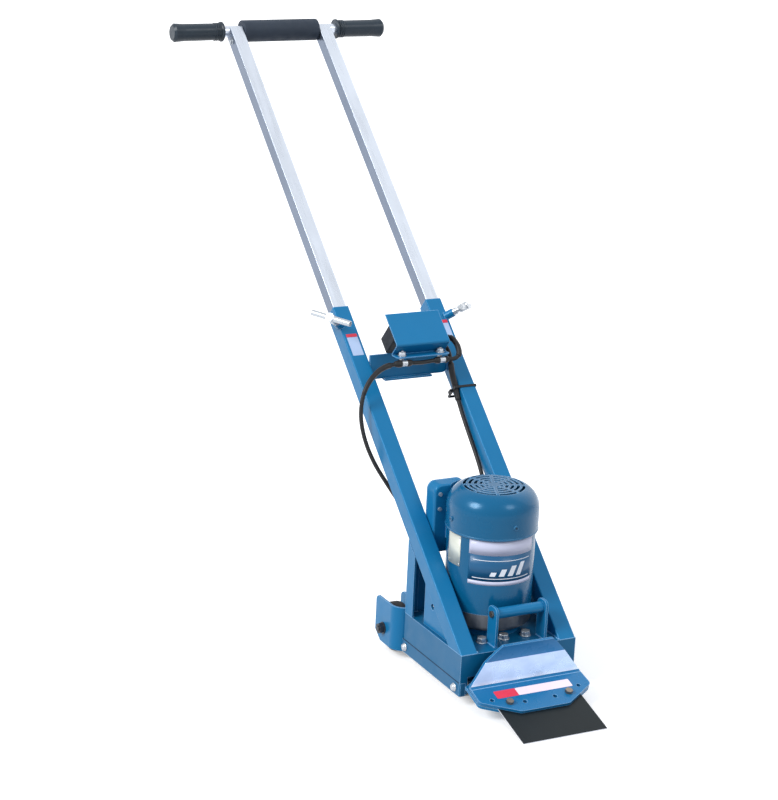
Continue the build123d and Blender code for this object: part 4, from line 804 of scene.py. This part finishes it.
def add_cord_fittings():
    """Rubber sleeves where the cords pass their clips."""
    y, z = CLIP
    for name, x, length, swell in (
        ("left_clip_bush_out", -49, -16, 7.4),
        ("left_clip_bush_in", -37, 12, 7.0),
        ("right_clip_bush_in", 37, -12, 7.0),
        ("right_clip_bush_out", 49, 9, 7.0),
    ):
        way = Vector((1 if length > 0 else -1, 0, 0))
        size = abs(length)
        made = turned(
            name, spot(x, y, z), way,
            [(0, CORD_RADIUS + 0.2), (0.2, swell - 0.6), (1, swell), (size * 0.45, swell), (size - 1, CORD_RADIUS + 1.2),
             (size, CORD_RADIUS + 0.2)],
            JACKET, "frame",
        )


def add_motor_details():
    """The rolled lip under the fan cover."""
    lip = turned(
        "fan_cover_lip", spot(0, MOTOR_Y, 303.2), (0, 0, 1),
        [(0, COVER_RADIUS - 3), (0, COVER_RADIUS - 0.5), (0.7, COVER_RADIUS + 0.5), (2.2, COVER_RADIUS + 0.8),
         (3.6, COVER_RADIUS + 0.5), (4.6, COVER_RADIUS - 0.2), (4.6, COVER_RADIUS - 2)],
        DEEP_BLUE, "frame", 96,
    )


def add_handle_details():
    """Weld beads where the tubes meet the bar, a bolt through each joint, and grip ribs."""
    tube_half = 14.5
    for side in (-1, 1):
        tag = "left" if side < 0 else "right"
        middle = side * (BASE_HALF - SLEEVE_SIDE / 2)
        for edge in (-1, 1):
            points = []
            for step in range(9):
                angle = math.radians(-80 + 20 * step)
                along = BAR_ALONG - BAR_RADIUS * math.cos(angle)
                lift = BAR_LIFT + BAR_RADIUS * math.sin(angle)
                points.append(in_frame(middle + edge * tube_half, along - 0.5, lift))
            made = weld(f"{tag}_bar_weld_{'in' if edge * side < 0 else 'out'}", points, 1.1, "handle", SILVER)
        seat = in_frame(middle + side * tube_half, BAR_ALONG - 30, BAR_LIFT)
        head = hex_nut(f"{tag}_tube_bolt", seat, (side, 0, 0), 9, 5, 2.5, ZINC, "handle")
        for step in range(3):
            centre = in_frame(side * (GRIP_FROM + 9 + 5 * step), BAR_ALONG, BAR_LIFT)
            rib = turned(
                f"{tag}_grip_rib_{step}", centre, (side, 0, 0),
                [(-1.2, GRIP_RADIUS - 1.2), (-0.7, GRIP_RADIUS + 0.1), (0, GRIP_RADIUS + 0.5),
                 (0.7, GRIP_RADIUS + 0.1), (1.2, GRIP_RADIUS - 1.2)],
                GRIP, "handle", 64,
            )


def add_base_details():
    """Washers under the top bolts, heads on the rails' bolts, painted shadow strips over the rails, and the posts'
    webs.
    """
    upright = Vector((0, 0, 1))
    for side in (-1, 1):
        tag = "left" if side < 0 else "right"
        # Painted shadow: a thin dark sheet along each rail's top edge stands in for the shadow line above the rail.
        shadow_strip = sheet_panel(
            f"{tag}_rail_painted_shadow", spot(side * BASE_HALF, (BASE_DEPTH - 3) if side < 0 else 3, SEAM_Z - 0.9),
            (0, side, 0), upright, BASE_DEPTH - 6, 2.6, 0.6, 0.15, PAINTED_SHADOW_STRIP, "frame",
        )
        web_from = min(side * (BASE_HALF - POST_WEB + 2), side * (BASE_HALF - WEB_REACH))
        web = sheet_panel(
            f"{tag}_post_web", spot(web_from, POST_BACK - 0.1, BASE_TOP), (1, 0, 0), upright,
            WEB_REACH - POST_WEB + 2, WEB_HEIGHT, 4.0, 4.0, BLUE, "frame",
        )
    for x in (-56, -8, 40):
        washer = turned(
            f"top_washer_{abs(x)}", spot(x, 46, BASE_TOP), (0, 0, 1),
            [(0, 9.1), (0, 11), (0.5, 11.4), (1.4, 11.2), (2.1, 9.1)], ZINC, "frame", 48,
        )
    for side in (-1, 1):
        tag = "left" if side < 0 else "right"
        for y in RAIL_BOLT_Y:
            cap = turned(
                f"{tag}_rail_bolt_cap_{int(y)}", spot(side * BASE_HALF, y, RAIL_BOLT_Z), (side, 0, 0),
                [(0, 8.2), (1.2, 8.2), (1.4, 7.0), (4.2, 6.6), (5.6, 5.0), (6.2, 2.5), (6.3, 0)],
                ZINC, "frame", 40,
            )


def screw_recess_shade():
    """Painted shade for the cross recesses in the fan cover's screw heads: a thin black cross on each head."""
    for angle in (-90, 0, 90, 180):
        turn = math.radians(angle)
        way = Vector((math.cos(turn), math.sin(turn), 0))
        seat = spot(0, MOTOR_Y, 329) + way * (COVER_RADIUS + 2.75) * MM
        side = Vector((-way.y, way.x, 0))
        for tag, a, b in (("level", side, Vector((0, 0, 1))), ("upright", Vector((0, 0, 1)), side)):
            corner = seat - a * 2.6 * MM - b * 0.5 * MM
            if a.cross(b).dot(way) < 0:
                corner = seat - a * 2.6 * MM + b * 0.5 * MM
                b = -b
            made = sheet_panel(f"cover_screw_slot_{angle}_{tag}", corner, a, b, 5.2, 1.0, 0.3, 0.12, PLASTIC, "frame")


add_cords()
add_labels()
add_welds()
add_cord_fittings()
add_clip_hardware()
add_motor_details()
add_handle_details()
add_base_details()
screw_recess_shade()


# Floor, light and camera
def seen_directly(tree):
    """1 for what the eye sees itself, in a reflection or through glass, 0 for light that is only scattered."""
    path = tree.nodes.new("ShaderNodeLightPath")
    total = path.outputs["Is Camera Ray"]
    for kind in ("Is Glossy Ray", "Is Transmission Ray"):
        join = tree.nodes.new("ShaderNodeMath")
        join.operation = "MAXIMUM"
        tree.links.new(total, join.inputs[0])
        tree.links.new(path.outputs[kind], join.inputs[1])
        total = join.outputs[0]
    return total


def floor_material():
    """White where it is seen, and a grey studio floor to the light that it scatters."""
    material = bpy.data.materials.new("floor")
    material.use_nodes = True
    tree = material.node_tree
    seen = tree.nodes["Principled BSDF"]
    seen.inputs["Base Color"].default_value = (0.93, 0.93, 0.93, 1)
    seen.inputs["Roughness"].default_value = 0.9
    seen.inputs["Specular IOR Level"].default_value = 0.1
    seen.inputs["Emission Color"].default_value = (1, 1, 1, 1)
    seen.inputs["Emission Strength"].default_value = 0.3
    unseen = tree.nodes.new("ShaderNodeBsdfDiffuse")
    unseen.inputs["Color"].default_value = (0.4, 0.4, 0.41, 1)
    mix = tree.nodes.new("ShaderNodeMixShader")
    tree.links.new(seen_directly(tree), mix.inputs[0])
    tree.links.new(unseen.outputs[0], mix.inputs[1])
    tree.links.new(seen.outputs[0], mix.inputs[2])
    tree.links.new(mix.outputs[0], tree.nodes["Material Output"].inputs["Surface"])
    return material


def add_floor():
    size = 60.0
    mesh = bpy.data.meshes.new("floor")
    mesh.from_pydata([(-size, -size, 0), (size, -size, 0), (size, size, 0), (-size, size, 0)], [], [(0, 1, 2, 3)])
    mesh.materials.append(floor_material())
    made = bpy.data.objects.new("floor", mesh)
    made.location.z = -0.0005
    bpy.context.collection.objects.link(made)


def add_sun(name, azimuth, elevation, strength, softness):
    """A sun seen at that azimuth, from -Y towards +X, and elevation, in degrees."""
    data = bpy.data.lights.new(name, "SUN")
    data.energy = strength
    data.angle = math.radians(softness)
    a, e = math.radians(azimuth), math.radians(elevation)
    toward = Vector((math.sin(a) * math.cos(e), -math.cos(a) * math.cos(e), math.sin(e)))
    made = bpy.data.objects.new(name, data)
    made.rotation_euler = toward.to_track_quat("Z", "Y").to_euler()
    bpy.context.collection.objects.link(made)


def add_world():
    world = bpy.data.worlds.new("studio")
    world.use_nodes = True
    tree = world.node_tree
    background = tree.nodes["Background"]
    texture = tree.nodes.new("ShaderNodeTexCoord")
    split = tree.nodes.new("ShaderNodeSeparateXYZ")
    ramp = tree.nodes.new("ShaderNodeValToRGB")
    spread = tree.nodes.new("ShaderNodeMapRange")
    spread.inputs["From Min"].default_value = -1
    tree.links.new(texture.outputs["Generated"], split.inputs[0])
    tree.links.new(split.outputs["Z"], spread.inputs["Value"])
    tree.links.new(spread.outputs["Result"], ramp.inputs["Fac"])
    ramp.color_ramp.elements[0].position = 0.5
    ramp.color_ramp.elements[0].color = (0.3, 0.31, 0.33, 1)
    ramp.color_ramp.elements[1].position = 0.95
    ramp.color_ramp.elements[1].color = (0.78, 0.8, 0.85, 1)
    mix = tree.nodes.new("ShaderNodeMix")
    mix.data_type = "RGBA"
    tree.links.new(seen_directly(tree), mix.inputs[0])
    tree.links.new(ramp.outputs["Color"], mix.inputs[6])
    mix.inputs[7].default_value = (1, 1, 1, 1)
    tree.links.new(mix.outputs[2], background.inputs["Color"])
    background.inputs["Strength"].default_value = 1.0
    bpy.context.scene.world = world


CAMERA_SPOT = (-2030.5, -3264.0, 1746.2)
CAMERA_AZIMUTH = -26.54
CAMERA_ELEVATION = 16.44
CAMERA_ROLL = 2.275
CAMERA_LENS = 98.38
CAMERA_SHIFT = (0.0607, -0.0256)


def add_camera():
    data = bpy.data.cameras.new("camera")
    data.lens = CAMERA_LENS
    data.sensor_width = 36
    data.sensor_fit = "AUTO"
    data.shift_x, data.shift_y = CAMERA_SHIFT
    data.clip_end = 100
    a, e, r = (math.radians(v) for v in (CAMERA_AZIMUTH, CAMERA_ELEVATION, CAMERA_ROLL))
    back = Vector((math.sin(a) * math.cos(e), -math.cos(a) * math.cos(e), math.sin(e)))
    level = Vector((math.cos(a), math.sin(a), 0))
    rise = back.cross(level)
    right = level * math.cos(r) + rise * math.sin(r)
    up = rise * math.cos(r) - level * math.sin(r)
    made = bpy.data.objects.new("camera", data)
    turn = Matrix((right, up, back)).transposed().to_4x4()
    made.matrix_world = Matrix.Translation(spot(*CAMERA_SPOT)) @ turn
    bpy.context.collection.objects.link(made)
    bpy.context.scene.camera = made


add_floor()
add_world()
add_sun("key", -84, 36, 2.7, 25)
add_sun("front", 22, 40, 0.6, 20)
add_sun("fill", 105, 30, 0.5, 60)
add_camera()
bpy.context.scene.view_settings.view_transform = "Standard"
